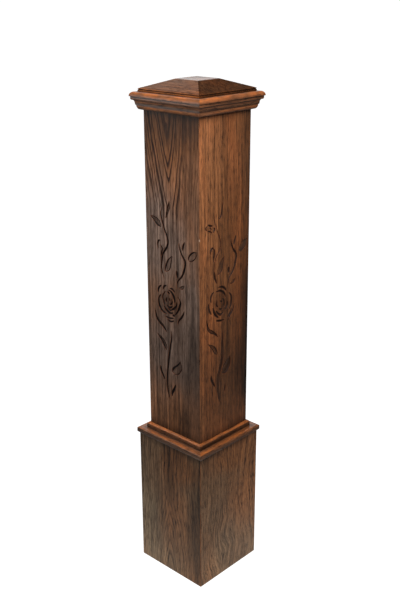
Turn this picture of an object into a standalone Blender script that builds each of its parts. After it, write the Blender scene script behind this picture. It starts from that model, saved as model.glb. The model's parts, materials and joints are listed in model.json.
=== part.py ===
"""A box newel post: a hollow square shaft of four mitred boards with an incised rose, a boarded foot
under a shelf and a bead, and a moulded, bull-nosed head under a low pyramid cap.

Metres, +Z up. The origin is the middle of the foot, on the floor. The front face looks along -Y.
"""

import math

import bmesh
import bpy
from mathutils import Matrix, Vector

MM = 0.001

# Clearance between pieces that touch
FIT_GAP = 0.3 * MM

# Shaft: four boards from the floor to the underside of the collar
SHAFT_WIDTH = 165.0 * MM
SHAFT_HEIGHT = 1157.0 * MM
SHAFT_BOARD = 19.0 * MM

# Eased corners of the shaft, stopped just short of the bead and of the bed moulding
SHAFT_ARRIS = 0.8 * MM
ARRIS_STOP = 1.0 * MM

# Foot: boards around the shaft, a shelf on their ends and a bead on the shelf
BASE_BOARD = 19.0 * MM
BASE_HEIGHT = 354.0 * MM
SHELF_THICKNESS = 13.9 * MM
SHELF_OVERHANG = 4.6 * MM
SHELF_ROUND = 3.5 * MM
BEAD_WIDTH = 6.6 * MM
BEAD_HEIGHT = 13.2 * MM
BEAD_ROUND = 5.8 * MM

# Bed moulding under the collar: from the shaft outwards a flat toe, a round, a fillet and a hollow
BED_HEIGHT = 20.4 * MM
BED_TOE = 4.5 * MM
BED_ROUND_REACH = 6.5 * MM
BED_ROUND_HEIGHT = 10.5 * MM
BED_FILLET = 1.6 * MM
BED_HOLLOW_REACH = 3.4 * MM

# Collar: a bull nose above a shallow step, reaching out past the bed moulding
COLLAR_THICKNESS = 17.7 * MM
COLLAR_OVERHANG = 6.0 * MM
COLLAR_STEP = 2.3 * MM
COLLAR_STEP_HEIGHT = 7.5 * MM
COLLAR_NOSE_ROUND = 9.0 * MM
COLLAR_FOOT_ROUND = 3.0 * MM

# Cap: a low pyramid on a narrow grooved edge, set in from the collar's nose
CAP_SETBACK = 13.5 * MM
CAP_EDGE = 6.2 * MM
CAP_RISE = 20.2 * MM
CAP_TOP_WIDTH = 67.4 * MM
CAP_GROOVE = 1.2 * MM
CAP_GROOVE_HEIGHT = 2.0 * MM
CAP_ARRIS = 0.8 * MM

# Carving. Points are millimetres on a face of this width and this clear height, measured across from
# the drawing's middle line and up from the rose; they grow and shrink with the real face. The drawing
# stands a little right of the face's middle, and the rose this share of the way up the clear height.
DRAWN_WIDTH = 165.0
DRAWN_HEIGHT = 754.8
DRAWN_SHIFT = 1.2
DRAWN_TOP = 238.0
ROSE_SHARE = 0.4348
ROSE_ACROSS = -14.0
ROSE_STRETCH = 1.12
GROOVE_SLOPE = 0.7
LEAF_LEAN = 0.2
CUTTER_RISE = 0.25
CUTTER_TIP = 0.3 * MM
STATIONS_PER_SPAN = 2

# Straight pieces to each rounded edge, and the distance within which corners are one
ROUND_STEPS = 5
WELD = 0.01 * MM

# Rose petals: turning angles in degrees, radii at even angles between them, groove width
PETALS = {
    "outer_left_top": ((160, 125), (38.2, 41.2, 40.1), 4.0),
    "outer_top": ((131, 101), (30.3, 34.8, 35.9), 4.0),
    "outer_right_top": ((87, 51), (30.8, 32.1, 31.2), 4.0),
    "outer_right": ((35, -58), (33.2, 36.5, 32.0, 30.0, 30.5), 4.5),
    "outer_left": ((150, 255), (28.0, 33.3, 33.9, 31.5, 27.7), 4.0),
    "under_first": ((247, 298), (36.0, 34.2, 34.7), 3.5),
    "under_second": ((259, 294), (38.9, 40.9, 40.1), 3.5),
    "middle_top": ((153, 22), (21.0, 22.2, 25.2, 22.7, 19.8), 4.2),
    "middle_left": ((163, 215), (18.6, 17.6, 17.2), 3.0),
    "middle_under": ((222, 306), (18.5, 21.2, 23.9), 4.2),
    "middle_right": ((16, -72), (25.8, 21.6, 16.8, 14.2), 4.0),
    "heart_top": ((108, 70), (20.6, 20.0, 18.6), 4.2),
    "heart_right": ((47, -60), (13.3, 11.7, 8.2, 4.6), 3.4),
    "heart_under": ((228, 300), (11.2, 10.5, 10.8), 3.4),
    "heart_left": ((100, 222), (9.8, 8.0, 7.7, 6.5), 3.0),
}

# Stems, buds and wedges: points along the groove, groove width
STEMS = {
    "upper_stem": (((-31, 223), (-35.5, 202), (-27, 175), (-15.5, 148), (-18.5, 130), (-31, 112),
                    (-36, 88), (-34.5, 70), (-27.5, 51)), 4.6),
    "lower_stem": (((-10, -67), (-7.5, -82), (-11, -104), (-16.5, -133), (-21, -163), (-24.5, -195),
                    (-23, -218), (-19.5, -234), (-14, -248)), 5.0),
    "branch": (((20, 149), (20.5, 138), (27, 122), (37.5, 108), (36, 92), (28, 72), (13.5, 55),
                (11, 36.5)), 4.6),
    "bud": (((36.5, 153), (31.5, 140), (30, 131)), 5.0),
    "thorn": (((11, 82.5), (12, 74), (12.5, 63)), 5.6),
    "sprout": (((-40, 133.5), (-33.8, 124), (-36, 113), (-38.5, 104)), 4.2),
    "hook": (((-46, 120), (-47.5, 133), (-44, 140.5), (-37.5, 142)), 4.2),
    "rose_stalk": (((33.5, -9), (31, -18), (24.5, -28), (16.5, -37), (13, -48)), 4.6),
    "left_wedge": (((-45, -165), (-44.5, -176), (-38, -188), (-31.5, -200)), 5.6),
    "right_wedge": (((5, -199.5), (-1, -213), (-8, -226), (-8, -234.5)), 6.0),
}

# Leaves: the steep edge and the shallow edge, each from the base to the tip, and the depth
LEAVES = {
    "top_leaf": (((-21.5, 195), (-19.5, 211), (-13.5, 228), (-9.5, 238)),
                 ((-19.5, 196), (-13.5, 210), (-9, 222), (-9.5, 238)), 3.0),
    "left_leaf": (((-34.5, 173), (-46.5, 174), (-57, 182), (-70, 195)),
                  ((-35, 176), (-42, 187), (-54, 193), (-70, 195)), 3.5),
    "inner_leaf": (((-25.5, 71), (-25.5, 84), (-16.5, 102), (-1, 114)),
                   ((-23, 71), (-11, 80), (-6, 98), (-1, 114)), 3.0),
    "oval_leaf": (((46, 114), (50, 126), (61, 135), (76, 137)),
                  ((47, 113), (56, 112), (68, 121), (76, 137)), 3.5),
    "small_leaf": (((16, 41), (26, 48), (35, 52)), ((20, 40), (30, 43), (35, 52)), 2.5),
    "sepal": (((-21.5, -78), (-35, -66.5), (-48, -59), (-58, -47), (-62, -22)),
              ((-21.5, -77), (-30, -65), (-41, -55.5), (-52, -47), (-62, -22)), 3.5),
    "lower_left_leaf": (((-24.5, -122), (-34, -113), (-41, -102), (-57, -84)),
                        ((-23, -118), (-26, -107), (-36, -95), (-57, -84)), 3.5),
    "lower_right_leaf": (((-8, -171), (-6, -160), (7, -149), (20.5, -136)),
                         ((-4, -174), (10, -173), (23, -157), (20.5, -136)), 4.5),
}

# The two hidden faces carry only the flower and its three stems
PLAIN_STEMS = ("upper_stem", "lower_stem", "branch")

# Clearance between the carving and the plain stretch of the shaft that a handrail meets
PLAIN_MARGIN = 8.0 * MM

# Each side of the post and its turn about the upright axis, in degrees
SIDES = (("front", 0), ("right", 90), ("back", 180), ("left", 270))

# Stained wood: base colour and roughness for each kind of piece
FINISHES = {
    "shaft_board": ((0.150, 0.060, 0.027), 0.42),
    "base_board": ((0.125, 0.050, 0.024), 0.42),
    "shelf_moulding": ((0.140, 0.052, 0.022), 0.38),
    "bead_moulding": ((0.160, 0.060, 0.025), 0.38),
    "bed_moulding": ((0.110, 0.042, 0.019), 0.38),
    "collar": ((0.130, 0.048, 0.021), 0.36),
    "cap_block": ((0.110, 0.045, 0.023), 0.36),
}

# Sizes that follow from the ones above
shaft_half = SHAFT_WIDTH / 2
base_inner = shaft_half + FIT_GAP
base_half = base_inner + BASE_BOARD
shelf_bottom = BASE_HEIGHT + FIT_GAP
shelf_top = shelf_bottom + SHELF_THICKNESS
bead_bottom = shelf_top + FIT_GAP
bead_top = bead_bottom + BEAD_HEIGHT
bed_bottom = SHAFT_HEIGHT - BED_HEIGHT
bed_round = shaft_half + BED_TOE + BED_ROUND_REACH
bed_half = bed_round + BED_FILLET + BED_HOLLOW_REACH
collar_half = bed_half + COLLAR_OVERHANG
cap_half = collar_half - CAP_SETBACK
collar_bottom = SHAFT_HEIGHT + FIT_GAP
collar_top = collar_bottom + COLLAR_THICKNESS
cap_bottom = collar_top + FIT_GAP
clear_height = bed_bottom - bead_top
arris_bottom = bead_top + ARRIS_STOP
arris_top = bed_bottom - ARRIS_STOP
rose_height = bead_top + ROSE_SHARE * clear_height
plain_bottom = rose_height + DRAWN_TOP * clear_height / DRAWN_HEIGHT + PLAIN_MARGIN


def clear_scene():
    """Remove every object from the scene."""
    for item in list(bpy.data.objects):
        bpy.data.objects.remove(item, do_unlink=True)


def new_collection(name):
    """A collection of this name, linked to the scene."""
    group = bpy.data.collections.new(name)
    bpy.context.scene.collection.children.link(group)
    return group


def wood(kind):
    """The stained wood of one kind of piece."""
    colour, roughness = FINISHES[kind]
    material = bpy.data.materials.new(kind + "_wood")
    material.use_nodes = True
    shader = material.node_tree.nodes["Principled BSDF"]
    shader.inputs["Base Color"].default_value = (*colour, 1.0)
    shader.inputs["Roughness"].default_value = roughness
    shader.inputs["Metallic"].default_value = 0.0
    return material


def arc(centre, radii, start, end, steps=ROUND_STEPS):
    """Points on an elliptical arc, both ends included; angles in degrees from straight out."""
    points = []
    for step in range(steps + 1):
        angle = math.radians(start + (end - start) * step / steps)
        points.append((centre[0] + radii[0] * math.cos(angle), centre[1] + radii[1] * math.sin(angle)))
    return points


def rectangle(inner, outer, bottom, top):
    """The outline of a square-edged board."""
    return [(inner, bottom), (outer, bottom), (outer, top), (inner, top)]


def shelf_outline():
    """A flat strip from the shaft to past the base boards, its outer edges rounded."""
    outer = base_half + SHELF_OVERHANG
    radii = (SHELF_ROUND, SHELF_ROUND)
    lower = arc((outer - SHELF_ROUND, shelf_bottom + SHELF_ROUND), radii, -90, 0)
    upper = arc((outer - SHELF_ROUND, shelf_top - SHELF_ROUND), radii, 0, 90)
    return [(shaft_half + FIT_GAP, shelf_bottom), *lower, *upper, (shaft_half + FIT_GAP, shelf_top)]


def bead_outline():
    """A narrow strip against the shaft with its upper outer edge rounded over."""
    inner = shaft_half + FIT_GAP
    outer = shaft_half + BEAD_WIDTH
    over = arc((outer - BEAD_ROUND, bead_top - BEAD_ROUND), (BEAD_ROUND, BEAD_ROUND), 0, 90)
    return [(inner, bead_bottom), (outer, bead_bottom), *over, (inner, bead_top)]


def bed_outline():
    """A round below, a fillet, and a hollow that flares out to meet the collar."""
    inner = shaft_half + FIT_GAP
    round_top = bed_bottom + BED_ROUND_HEIGHT
    lower = arc((bed_round - BED_ROUND_REACH, round_top), (BED_ROUND_REACH, BED_ROUND_HEIGHT), -90, 0)
    hollow = arc((bed_half, round_top), (BED_HOLLOW_REACH, SHAFT_HEIGHT - round_top), 180, 90)
    return [(inner, bed_bottom), *lower, *hollow, (inner, SHAFT_HEIGHT)]


def collar_outline():
    """A strip on the boards' ends: rounded foot, small step, then the nose."""
    inner = shaft_half - SHAFT_BOARD
    step_out = collar_half - COLLAR_STEP
    step_up = collar_bottom + COLLAR_STEP_HEIGHT
    foot_centre = (step_out - COLLAR_FOOT_ROUND, collar_bottom + COLLAR_FOOT_ROUND)
    foot = arc(foot_centre, (COLLAR_FOOT_ROUND, COLLAR_FOOT_ROUND), -90, 0)
    over_centre = (collar_half - COLLAR_NOSE_ROUND, collar_top - COLLAR_NOSE_ROUND)
    over = arc(over_centre, (COLLAR_NOSE_ROUND, COLLAR_NOSE_ROUND), 0, 90)
    return [(inner, collar_bottom), *foot, (step_out, step_up), (collar_half, step_up), *over,
            (inner, collar_top)]


def mesh_of(item):
    """The evaluated mesh of an object, free of the object itself."""
    graph = bpy.context.evaluated_depsgraph_get()
    return bpy.data.meshes.new_from_object(item.evaluated_get(graph))


def bisect(shell, point, normal, clear):
    """Cut a mesh at a plane, with the far side cleared away and the cut closed, or only scored."""
    cut = bmesh.ops.bisect_plane(shell, geom=[*shell.verts, *shell.edges, *shell.faces],
                                 plane_co=point, plane_no=normal, clear_outer=clear)
    if clear:
        rim = [part for part in cut["geom_cut"] if isinstance(part, bmesh.types.BMEdge)]
        bmesh.ops.edgeloop_fill(shell, edges=rim)


def mitred_strip(name, outline, levels=()):
    """The front strip of a square frame: an outline run along X and mitred at both corners.

    The outline's points are distances out from the post's axis and heights above the floor. Its
    faces are scored across at the levels, so that a stretch between two of them is a face alone.
    """
    reach = 2 * max(out for out, up in outline)
    data = bpy.data.curves.new(name, "CURVE")
    data.dimensions = "2D"
    data.fill_mode = "BOTH"
    data.extrude = reach
    spline = data.splines.new("POLY")
    spline.points.add(len(outline) - 1)
    spline.use_cyclic_u = True
    for point, (out, up) in zip(spline.points, outline):
        point.co = (out, up, 0.0, 1.0)
    guide = bpy.data.objects.new(name, data)
    bpy.context.scene.collection.objects.link(guide)
    mesh = mesh_of(guide)
    bpy.data.objects.remove(guide, do_unlink=True)
    bpy.data.curves.remove(data)

    shell = bmesh.new()
    shell.from_mesh(mesh)
    bmesh.ops.remove_doubles(shell, verts=shell.verts, dist=WELD)
    turn = Matrix(((0, 0, -1), (-1, 0, 0), (0, 1, 0))).to_4x4()
    bmesh.ops.transform(shell, matrix=turn, verts=shell.verts)
    for side in (-1, 1):
        across = Vector((side, 1, 0)).normalized()
        bisect(shell, -across * FIT_GAP / 2, across, clear=True)
    for level in levels:
        bisect(shell, (0, 0, level), (0, 0, 1), clear=False)
    bmesh.ops.recalc_face_normals(shell, faces=shell.faces)
    shell.to_mesh(mesh)
    shell.free()
    mesh.name = name
    return mesh


def smooth_path(points, per_span):
    """Stations along a smooth curve that runs through the points."""
    nodes = [Vector(point) for point in points]
    nodes = [2 * nodes[0] - nodes[1], *nodes, 2 * nodes[-1] - nodes[-2]]
    path = []
    for first, start, end, last in zip(nodes, nodes[1:], nodes[2:], nodes[3:]):
        for step in range(per_span):
            t = step / per_span
            path.append(0.5 * (2 * start + (end - first) * t
                               + (2 * first - 5 * start + 4 * end - last) * t ** 2
                               + (3 * start - first - 3 * end + last) * t ** 3))
    path.append(nodes[-2])
    return path


def petal_path(angles, radii):
    """Points of a petal's groove about the middle of the rose."""
    points = []
    for step, radius in enumerate(radii):
        angle = math.radians(angles[0] + (angles[1] - angles[0]) * step / (len(radii) - 1))
        points.append((ROSE_ACROSS + radius * math.cos(angle), ROSE_STRETCH * radius * math.sin(angle)))
    return points


def swell(share):
    """How full a cut is at this share of its length: nothing at its ends, full in the middle."""
    return math.sin(math.pi * share) ** 0.5


def groove_sections(points, width):
    """Sections of a V groove, wide as `width` in its middle and pointed at its ends."""
    path = smooth_path(points, STATIONS_PER_SPAN)
    sections = []
    for index in range(1, len(path) - 1):
        along = (path[index + 1] - path[index - 1]).normalized()
        full = swell(index / (len(path) - 1))
        side = Vector((-along.y, along.x)) * width / 2 * full
        sections.append((path[index] - side, path[index] + side, GROOVE_SLOPE * width * full, 0.5))
    return path[0], sections, path[-1]


def leaf_sections(steep_points, shallow_points, depth):
    """Sections of a scooped leaf, deepest beside its steep edge."""
    steep = smooth_path(steep_points, STATIONS_PER_SPAN)
    shallow = smooth_path(shallow_points, STATIONS_PER_SPAN)
    sections = []
    for index in range(1, len(steep) - 1):
        full = swell(index / (len(steep) - 1))
        sections.append((steep[index], shallow[index], depth * full, LEAF_LEAN))
    base = (steep[0] + shallow[0]) / 2
    return base, sections, steep[-1]


def on_face(point, depth):
    """A drawn point as a place on the front face, this deep under it."""
    across = (point[0] + DRAWN_SHIFT) * SHAFT_WIDTH / DRAWN_WIDTH
    up = rose_height + point[1] * clear_height / DRAWN_HEIGHT
    return Vector((across, depth - shaft_half, up))


def keep_cutter(name, shell, group):
    """Make a closed shell one of the group's cutters."""
    bmesh.ops.recalc_face_normals(shell, faces=shell.faces)
    mesh = bpy.data.meshes.new(name)
    shell.to_mesh(mesh)
    shell.free()
    item = bpy.data.objects.new(name, mesh)
    item.display_type = "WIRE"
    item.hide_render = True
    group.objects.link(item)


def groove_cutter(name, start, sections, end, group):
    """A closed three-sided loft whose point cuts the groove and whose back stands off the face."""
    shell = bmesh.new()
    first = shell.verts.new(on_face(start, -CUTTER_TIP))
    rings = []
    for near, far, depth, lean in sections:
        bottom = on_face(near.lerp(far, lean), depth * MM)
        corners = [on_face(near, 0.0), on_face(far, 0.0)]
        corners = [corner + (corner - bottom) * CUTTER_RISE for corner in corners]
        rings.append([shell.verts.new(place) for place in (corners[0], bottom, corners[1])])
    last = shell.verts.new(on_face(end, -CUTTER_TIP))
    for side in range(3):
        after = (side + 1) % 3
        shell.faces.new((first, rings[0][side], rings[0][after]))
        for ring, following in zip(rings, rings[1:]):
            shell.faces.new((ring[side], following[side], following[after], ring[after]))
        shell.faces.new((last, rings[-1][after], rings[-1][side]))
    keep_cutter(name, shell, group)


def arris_cutter(name, side, group):
    """A three-sided rod that takes the sharp corner off one edge of the front board."""
    outer = shaft_half + SHAFT_ARRIS
    corners = ((side * (shaft_half - 2 * SHAFT_ARRIS), -outer), (side * outer, -outer),
               (side * outer, 2 * SHAFT_ARRIS - shaft_half))
    shell = bmesh.new()
    lower = [shell.verts.new((*corner, arris_bottom)) for corner in corners]
    upper = [shell.verts.new((*corner, arris_top)) for corner in corners]
    shell.faces.new(lower)
    shell.faces.new(upper)
    for at in range(3):
        shell.faces.new((lower[at - 1], lower[at], upper[at], upper[at - 1]))
    keep_cutter(name, shell, group)


def carving(group, stems, leaves):
    """Cutters for the rose, the chosen stems and the chosen leaves."""
    for name, (angles, radii, width) in PETALS.items():
        groove_cutter("petal_" + name, *groove_sections(petal_path(angles, radii), width), group)
    for name in stems:
        groove_cutter(name, *groove_sections(*STEMS[name]), group)
    for name in leaves:
        groove_cutter(name, *leaf_sections(*LEAVES[name]), group)


def carved_board(name, stems, leaves):
    """The mesh of a shaft board with its carving cut and its corners eased."""
    outline = rectangle(shaft_half - SHAFT_BOARD, shaft_half, 0.0, SHAFT_HEIGHT)
    levels = (arris_bottom, plain_bottom, arris_top)
    board = bpy.data.objects.new(name, mitred_strip(name, outline, levels))
    bpy.context.scene.collection.objects.link(board)
    group = new_collection(name + "_cutters")
    carving(group, stems, leaves)
    for side in (-1, 1):
        arris_cutter(f"arris_{side}", side, group)
    cut = board.modifiers.new("carving", "BOOLEAN")
    cut.operation = "DIFFERENCE"
    cut.operand_type = "COLLECTION"
    cut.collection = group
    mesh = mesh_of(board)
    mesh.name = name
    bpy.data.objects.remove(board, do_unlink=True)
    return mesh


def cap_mesh():
    """The cap: a square turned profile, its four sides facing the four sides of the post."""
    edge_top = cap_bottom + CAP_EDGE
    groove_top = edge_top - CAP_ARRIS
    groove_bottom = groove_top - CAP_GROOVE_HEIGHT
    groove_in = cap_half - CAP_GROOVE
    profile = [(0.0, edge_top + CAP_RISE), (CAP_TOP_WIDTH / 2, edge_top + CAP_RISE),
               (cap_half, edge_top), (cap_half, groove_top), (groove_in, groove_top),
               (groove_in, groove_bottom), (cap_half, groove_bottom), (cap_half, cap_bottom),
               (0.0, cap_bottom)]
    mesh = bpy.data.meshes.new("cap_profile")
    to_corner = 1 / math.cos(math.pi / len(SIDES))
    corners = [(out * to_corner, 0.0, up) for out, up in profile]
    mesh.from_pydata(corners, [(at, at + 1) for at in range(len(corners) - 1)], [])
    guide = bpy.data.objects.new("cap_profile", mesh)
    bpy.context.scene.collection.objects.link(guide)
    screw = guide.modifiers.new("turn", "SCREW")
    screw.steps = len(SIDES)
    screw.render_steps = screw.steps
    screw.use_merge_vertices = True
    screw.merge_threshold = WELD
    cap = mesh_of(guide)
    cap.name = "cap_block"
    cap.transform(Matrix.Rotation(math.pi / len(SIDES), 4, "Z"))
    bpy.data.objects.remove(guide, do_unlink=True)
    return cap


def place(name, mesh, degrees, group, parent):
    """One piece of the post, turned to its side."""
    item = bpy.data.objects.new(name, mesh)
    item.rotation_euler.z = math.radians(degrees)
    item.parent = parent
    group.objects.link(item)


def place_frame(kind, meshes, group, parent):
    """The four pieces of one kind, one to each side, in that side's own mesh."""
    material = wood(kind)
    for mesh in set(meshes):
        mesh.materials.clear()
        mesh.materials.append(material)
    for (side, degrees), mesh in zip(SIDES, meshes):
        place(kind + "_" + side, mesh, degrees, group, parent)


def main():
    """Build every piece of the post."""
    clear_scene()
    group = new_collection("newel_post")
    post = bpy.data.objects.new("newel_post", None)
    group.objects.link(post)

    carved = carved_board("shaft_board_carved", tuple(STEMS), tuple(LEAVES))
    plainer = carved_board("shaft_board_plainer", PLAIN_STEMS, ())
    place_frame("shaft_board", (carved, carved, plainer, plainer), group, post)

    outlines = {
        "base_board": rectangle(base_inner, base_half, 0.0, BASE_HEIGHT),
        "shelf_moulding": shelf_outline(),
        "bead_moulding": bead_outline(),
        "bed_moulding": bed_outline(),
        "collar": collar_outline(),
    }
    for kind, outline in outlines.items():
        place_frame(kind, (mitred_strip(kind, outline),) * len(SIDES), group, post)

    cap = cap_mesh()
    cap.materials.append(wood("cap_block"))
    place("cap_block", cap, 0, group, post)


main()
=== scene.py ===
"""Looks of the carved box newel post: rebuilt boards, mouldings and cap in stained oak, on a pale floor.

The file is laid out as an add-on and run as a script. Sizes are metres unless a name says otherwise.
"""

import json
import math

import bmesh
import bpy
from mathutils import Matrix, Vector, noise

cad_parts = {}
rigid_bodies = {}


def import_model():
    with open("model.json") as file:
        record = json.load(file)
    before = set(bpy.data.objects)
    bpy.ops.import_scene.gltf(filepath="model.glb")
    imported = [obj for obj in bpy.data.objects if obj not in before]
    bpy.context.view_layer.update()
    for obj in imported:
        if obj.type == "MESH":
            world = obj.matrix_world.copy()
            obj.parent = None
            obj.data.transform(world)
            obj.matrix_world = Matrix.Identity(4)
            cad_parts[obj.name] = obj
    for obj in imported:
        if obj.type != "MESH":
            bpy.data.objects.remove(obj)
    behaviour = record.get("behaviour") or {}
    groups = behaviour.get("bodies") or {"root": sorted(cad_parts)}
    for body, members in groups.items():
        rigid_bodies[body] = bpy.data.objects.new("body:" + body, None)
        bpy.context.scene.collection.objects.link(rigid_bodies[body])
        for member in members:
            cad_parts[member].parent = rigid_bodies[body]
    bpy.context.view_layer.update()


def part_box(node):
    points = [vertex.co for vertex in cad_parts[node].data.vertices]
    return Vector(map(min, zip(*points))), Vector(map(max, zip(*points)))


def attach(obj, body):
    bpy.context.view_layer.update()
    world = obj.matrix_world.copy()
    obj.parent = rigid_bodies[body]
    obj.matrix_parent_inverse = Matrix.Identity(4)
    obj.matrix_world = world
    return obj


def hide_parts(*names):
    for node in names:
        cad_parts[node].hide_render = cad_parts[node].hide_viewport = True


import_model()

bl_info = {
    "name": "Carved newel post",
    "version": (1, 0, 0),
    "blender": (4, 5, 0),
    "location": "3D View > Sidebar > Newel",
    "description": "Rebuilds the boards, mouldings and cap of a carved box newel post",
    "category": "Add Mesh",
}

MM = 0.001

# The frame: what each kind of piece takes up on the front side of the post
shaft_low, shaft_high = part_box("shaft_board_front")
foot_low, foot_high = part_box("base_board_front")
shelf_low, shelf_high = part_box("shelf_moulding_front")
bead_low, bead_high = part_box("bead_moulding_front")
bed_low, bed_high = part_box("bed_moulding_front")
collar_low, collar_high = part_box("collar_front")
cap_low, cap_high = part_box("cap_block")
shaft_half = -shaft_low[1]
clear_bottom = bead_high[2]
clear_height = bed_low[2] - clear_bottom

# Each side of the post and its turn about the upright axis, in degrees
SIDES = {"front": 0, "right": 90, "back": 180, "left": 270}

# The carving's drawing: millimetres across from the face's middle and up from the rose
DRAWN_WIDTH = 165.0
DRAWN_HEIGHT = 754.8
DRAWN_SHIFT = 1.2
ROSE_SHARE = 0.4348
ROSE_ACROSS = -14.0
ROSE_STRETCH = 1.12
STATIONS_PER_SPAN = 7
rose_height = clear_bottom + ROSE_SHARE * clear_height

# Grooves: depth for each millimetre of width, and how much wider their rounded lips make them
GROOVE_SLOPE = 0.7
GROOVE_SPREAD = 1.28
PETAL_SPREAD = 1.15

# Leaves: how far across its scoop a leaf is deepest, and the width of the fine groove beside it
LEAF_LEAN = 0.2
LEAF_OUTLINE = 2.8

# Rose petals: first and last angle in degrees, radii at even angles between them, groove width, and
# the slope where it isn't the usual one
PETALS = {
    "outer_left_top": ((160, 125), (38.2, 41.2, 40.1), 4.0),
    "outer_top": ((131, 101), (30.3, 34.8, 35.9), 4.0),
    "outer_right_top": ((87, 51), (30.8, 32.1, 31.2), 4.0),
    "outer_right": ((35, -58), (33.2, 36.5, 32.0, 30.0, 30.5), 4.5),
    "outer_left": ((150, 255), (28.0, 33.3, 33.9, 31.5, 27.7), 4.0),
    "under_first": ((247, 298), (36.0, 34.2, 34.7), 3.5),
    "under_second": ((259, 294), (38.9, 40.9, 40.1), 3.5),
    "middle_top": ((153, 22), (21.0, 22.2, 25.2, 22.7, 19.8), 4.2),
    "middle_left": ((163, 215), (18.6, 17.6, 17.2), 3.0),
    "middle_under": ((222, 306), (18.5, 21.2, 23.9), 4.2),
    "middle_right": ((16, -72), (25.8, 21.6, 16.8, 14.2), 4.0),
    "heart_top": ((108, 70), (20.6, 20.0, 18.6), 4.2),
    "heart_right": ((47, -60), (13.3, 11.7, 8.2, 4.6), 3.4),
    "heart_under": ((228, 300), (11.2, 10.5, 10.8), 3.4),
    "heart_left": ((100, 222), (9.8, 8.0, 7.7, 6.5), 3.0),
}

# Stems, buds and wedges: points along the groove, groove width, and its slope where given
STEMS = {
    "upper_stem": (((-31, 223), (-35.5, 202), (-27, 175), (-15.5, 148), (-18.5, 130), (-31, 112),
        (-36, 88), (-34.5, 70), (-27.5, 51)), 4.6),
    "lower_stem": (((-10, -67), (-7.5, -82), (-11, -104), (-16.5, -133), (-21, -163), (-24.5, -195),
        (-23, -218), (-19.5, -234), (-14, -248)), 5.2, 0.62),
    "branch": (((20, 149), (20.5, 138), (27, 122), (37.5, 108), (36, 92), (28, 72), (13.5, 55),
        (11, 36.5)), 4.6),
    "bud": (((36.5, 153), (31.5, 140), (30, 131)), 5.0),
    "thorn": (((11, 82.5), (12, 74), (12.5, 63)), 5.6),
    "sprout": (((-40, 133.5), (-33.8, 124), (-36, 113), (-38.5, 104)), 4.2),
    "hook": (((-46, 120), (-47.5, 133), (-44, 140.5), (-37.5, 142)), 4.2),
    "rose_stalk": (((33.5, -9), (31, -18), (24.5, -28), (16.5, -37), (13, -48)), 4.6),
    "left_wedge": (((-45, -165), (-44.5, -176), (-38, -188), (-31.5, -200)), 5.6),
    "right_wedge": (((5, -199.5), (-1, -213), (-8, -226), (-8, -234.5)), 6.0),
}

# Leaves: the steep edge and the shallow edge, each from the base to the tip, and the depth
LEAVES = {
    "top_leaf": (((-21.5, 195), (-19.5, 211), (-13.5, 228), (-9.5, 238)), ((-19.5, 196), (-13.5, 210),
        (-9, 222), (-9.5, 238)), 3.0),
    "left_leaf": (((-34.5, 173), (-46.5, 174), (-57, 182), (-70, 195)), ((-35, 176), (-42, 187),
        (-54, 193), (-70, 195)), 3.5),
    "inner_leaf": (((-25.5, 71), (-25.5, 84), (-16.5, 102), (-1, 114)), ((-23, 71), (-11, 80), (-6, 98),
        (-1, 114)), 3.0),
    "oval_leaf": (((46, 114), (50, 126), (61, 135), (76, 137)), ((47, 113), (56, 112), (68, 121),
        (76, 137)), 3.5),
    "small_leaf": (((16, 41), (26, 48), (35, 52)), ((20, 40), (30, 43), (35, 52)), 2.5),
    "sepal": (((-21.5, -78), (-35, -66.5), (-48, -59), (-58, -47), (-62, -22)), ((-21.5, -77), (-30, -65),
        (-41, -55.5), (-52, -47), (-62, -22)), 3.5),
    "lower_left_leaf": (((-24.5, -122), (-34, -113), (-41, -102), (-57, -84)), ((-23, -118), (-26, -107),
        (-36, -95), (-57, -84)), 3.5),
    "lower_right_leaf": (((-8, -171), (-6, -160), (7, -149), (20.5, -136)), ((-4, -174), (10, -173),
        (23, -157), (20.5, -136)), 4.5),
}

# The front rose has a few more small cuts, and some of its middle ones lie a little differently
FRONT_PETALS = {
    **PETALS,
    "outer_left": ((150, 255), (28.0, 33.3, 33.9, 31.5, 27.7), 4.6),
    "middle_top": ((96, 2), (27.0, 24.8, 21.3, 19.2, 17.6), 5.2),
    "middle_top_left": ((112, 186), (25.0, 23.6, 22.5, 20.6, 17.0), 3.8, 0.55),
    "middle_under": ((211, 306), (20.0, 20.0, 21.1, 22.8, 24.3), 4.8),
    "middle_right": ((16, -70), (25.1, 23.4, 19.6, 17.0, 16.5), 4.6),
    "heart_top": ((106, 80), (22.2, 20.2, 18.2), 4.4),
    "heart_right": ((54, -76), (11.8, 9.4, 6.4, 3.4), 3.8),
    "heart_under": ((212, 338), (10.6, 10.8, 11.4, 12.8), 3.8),
    "heart_left": ((120, 200), (12.6, 9.8, 8.0), 3.4),
    "heart_inner": ((90, 50), (9.8, 6.0, 2.6), 3.0),
    "heart_small": ((254, 300), (13.0, 16.0, 18.4), 3.2),
    "under_end": ((290, 309), (27.0, 29.6, 31.8), 4.4),
}

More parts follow.
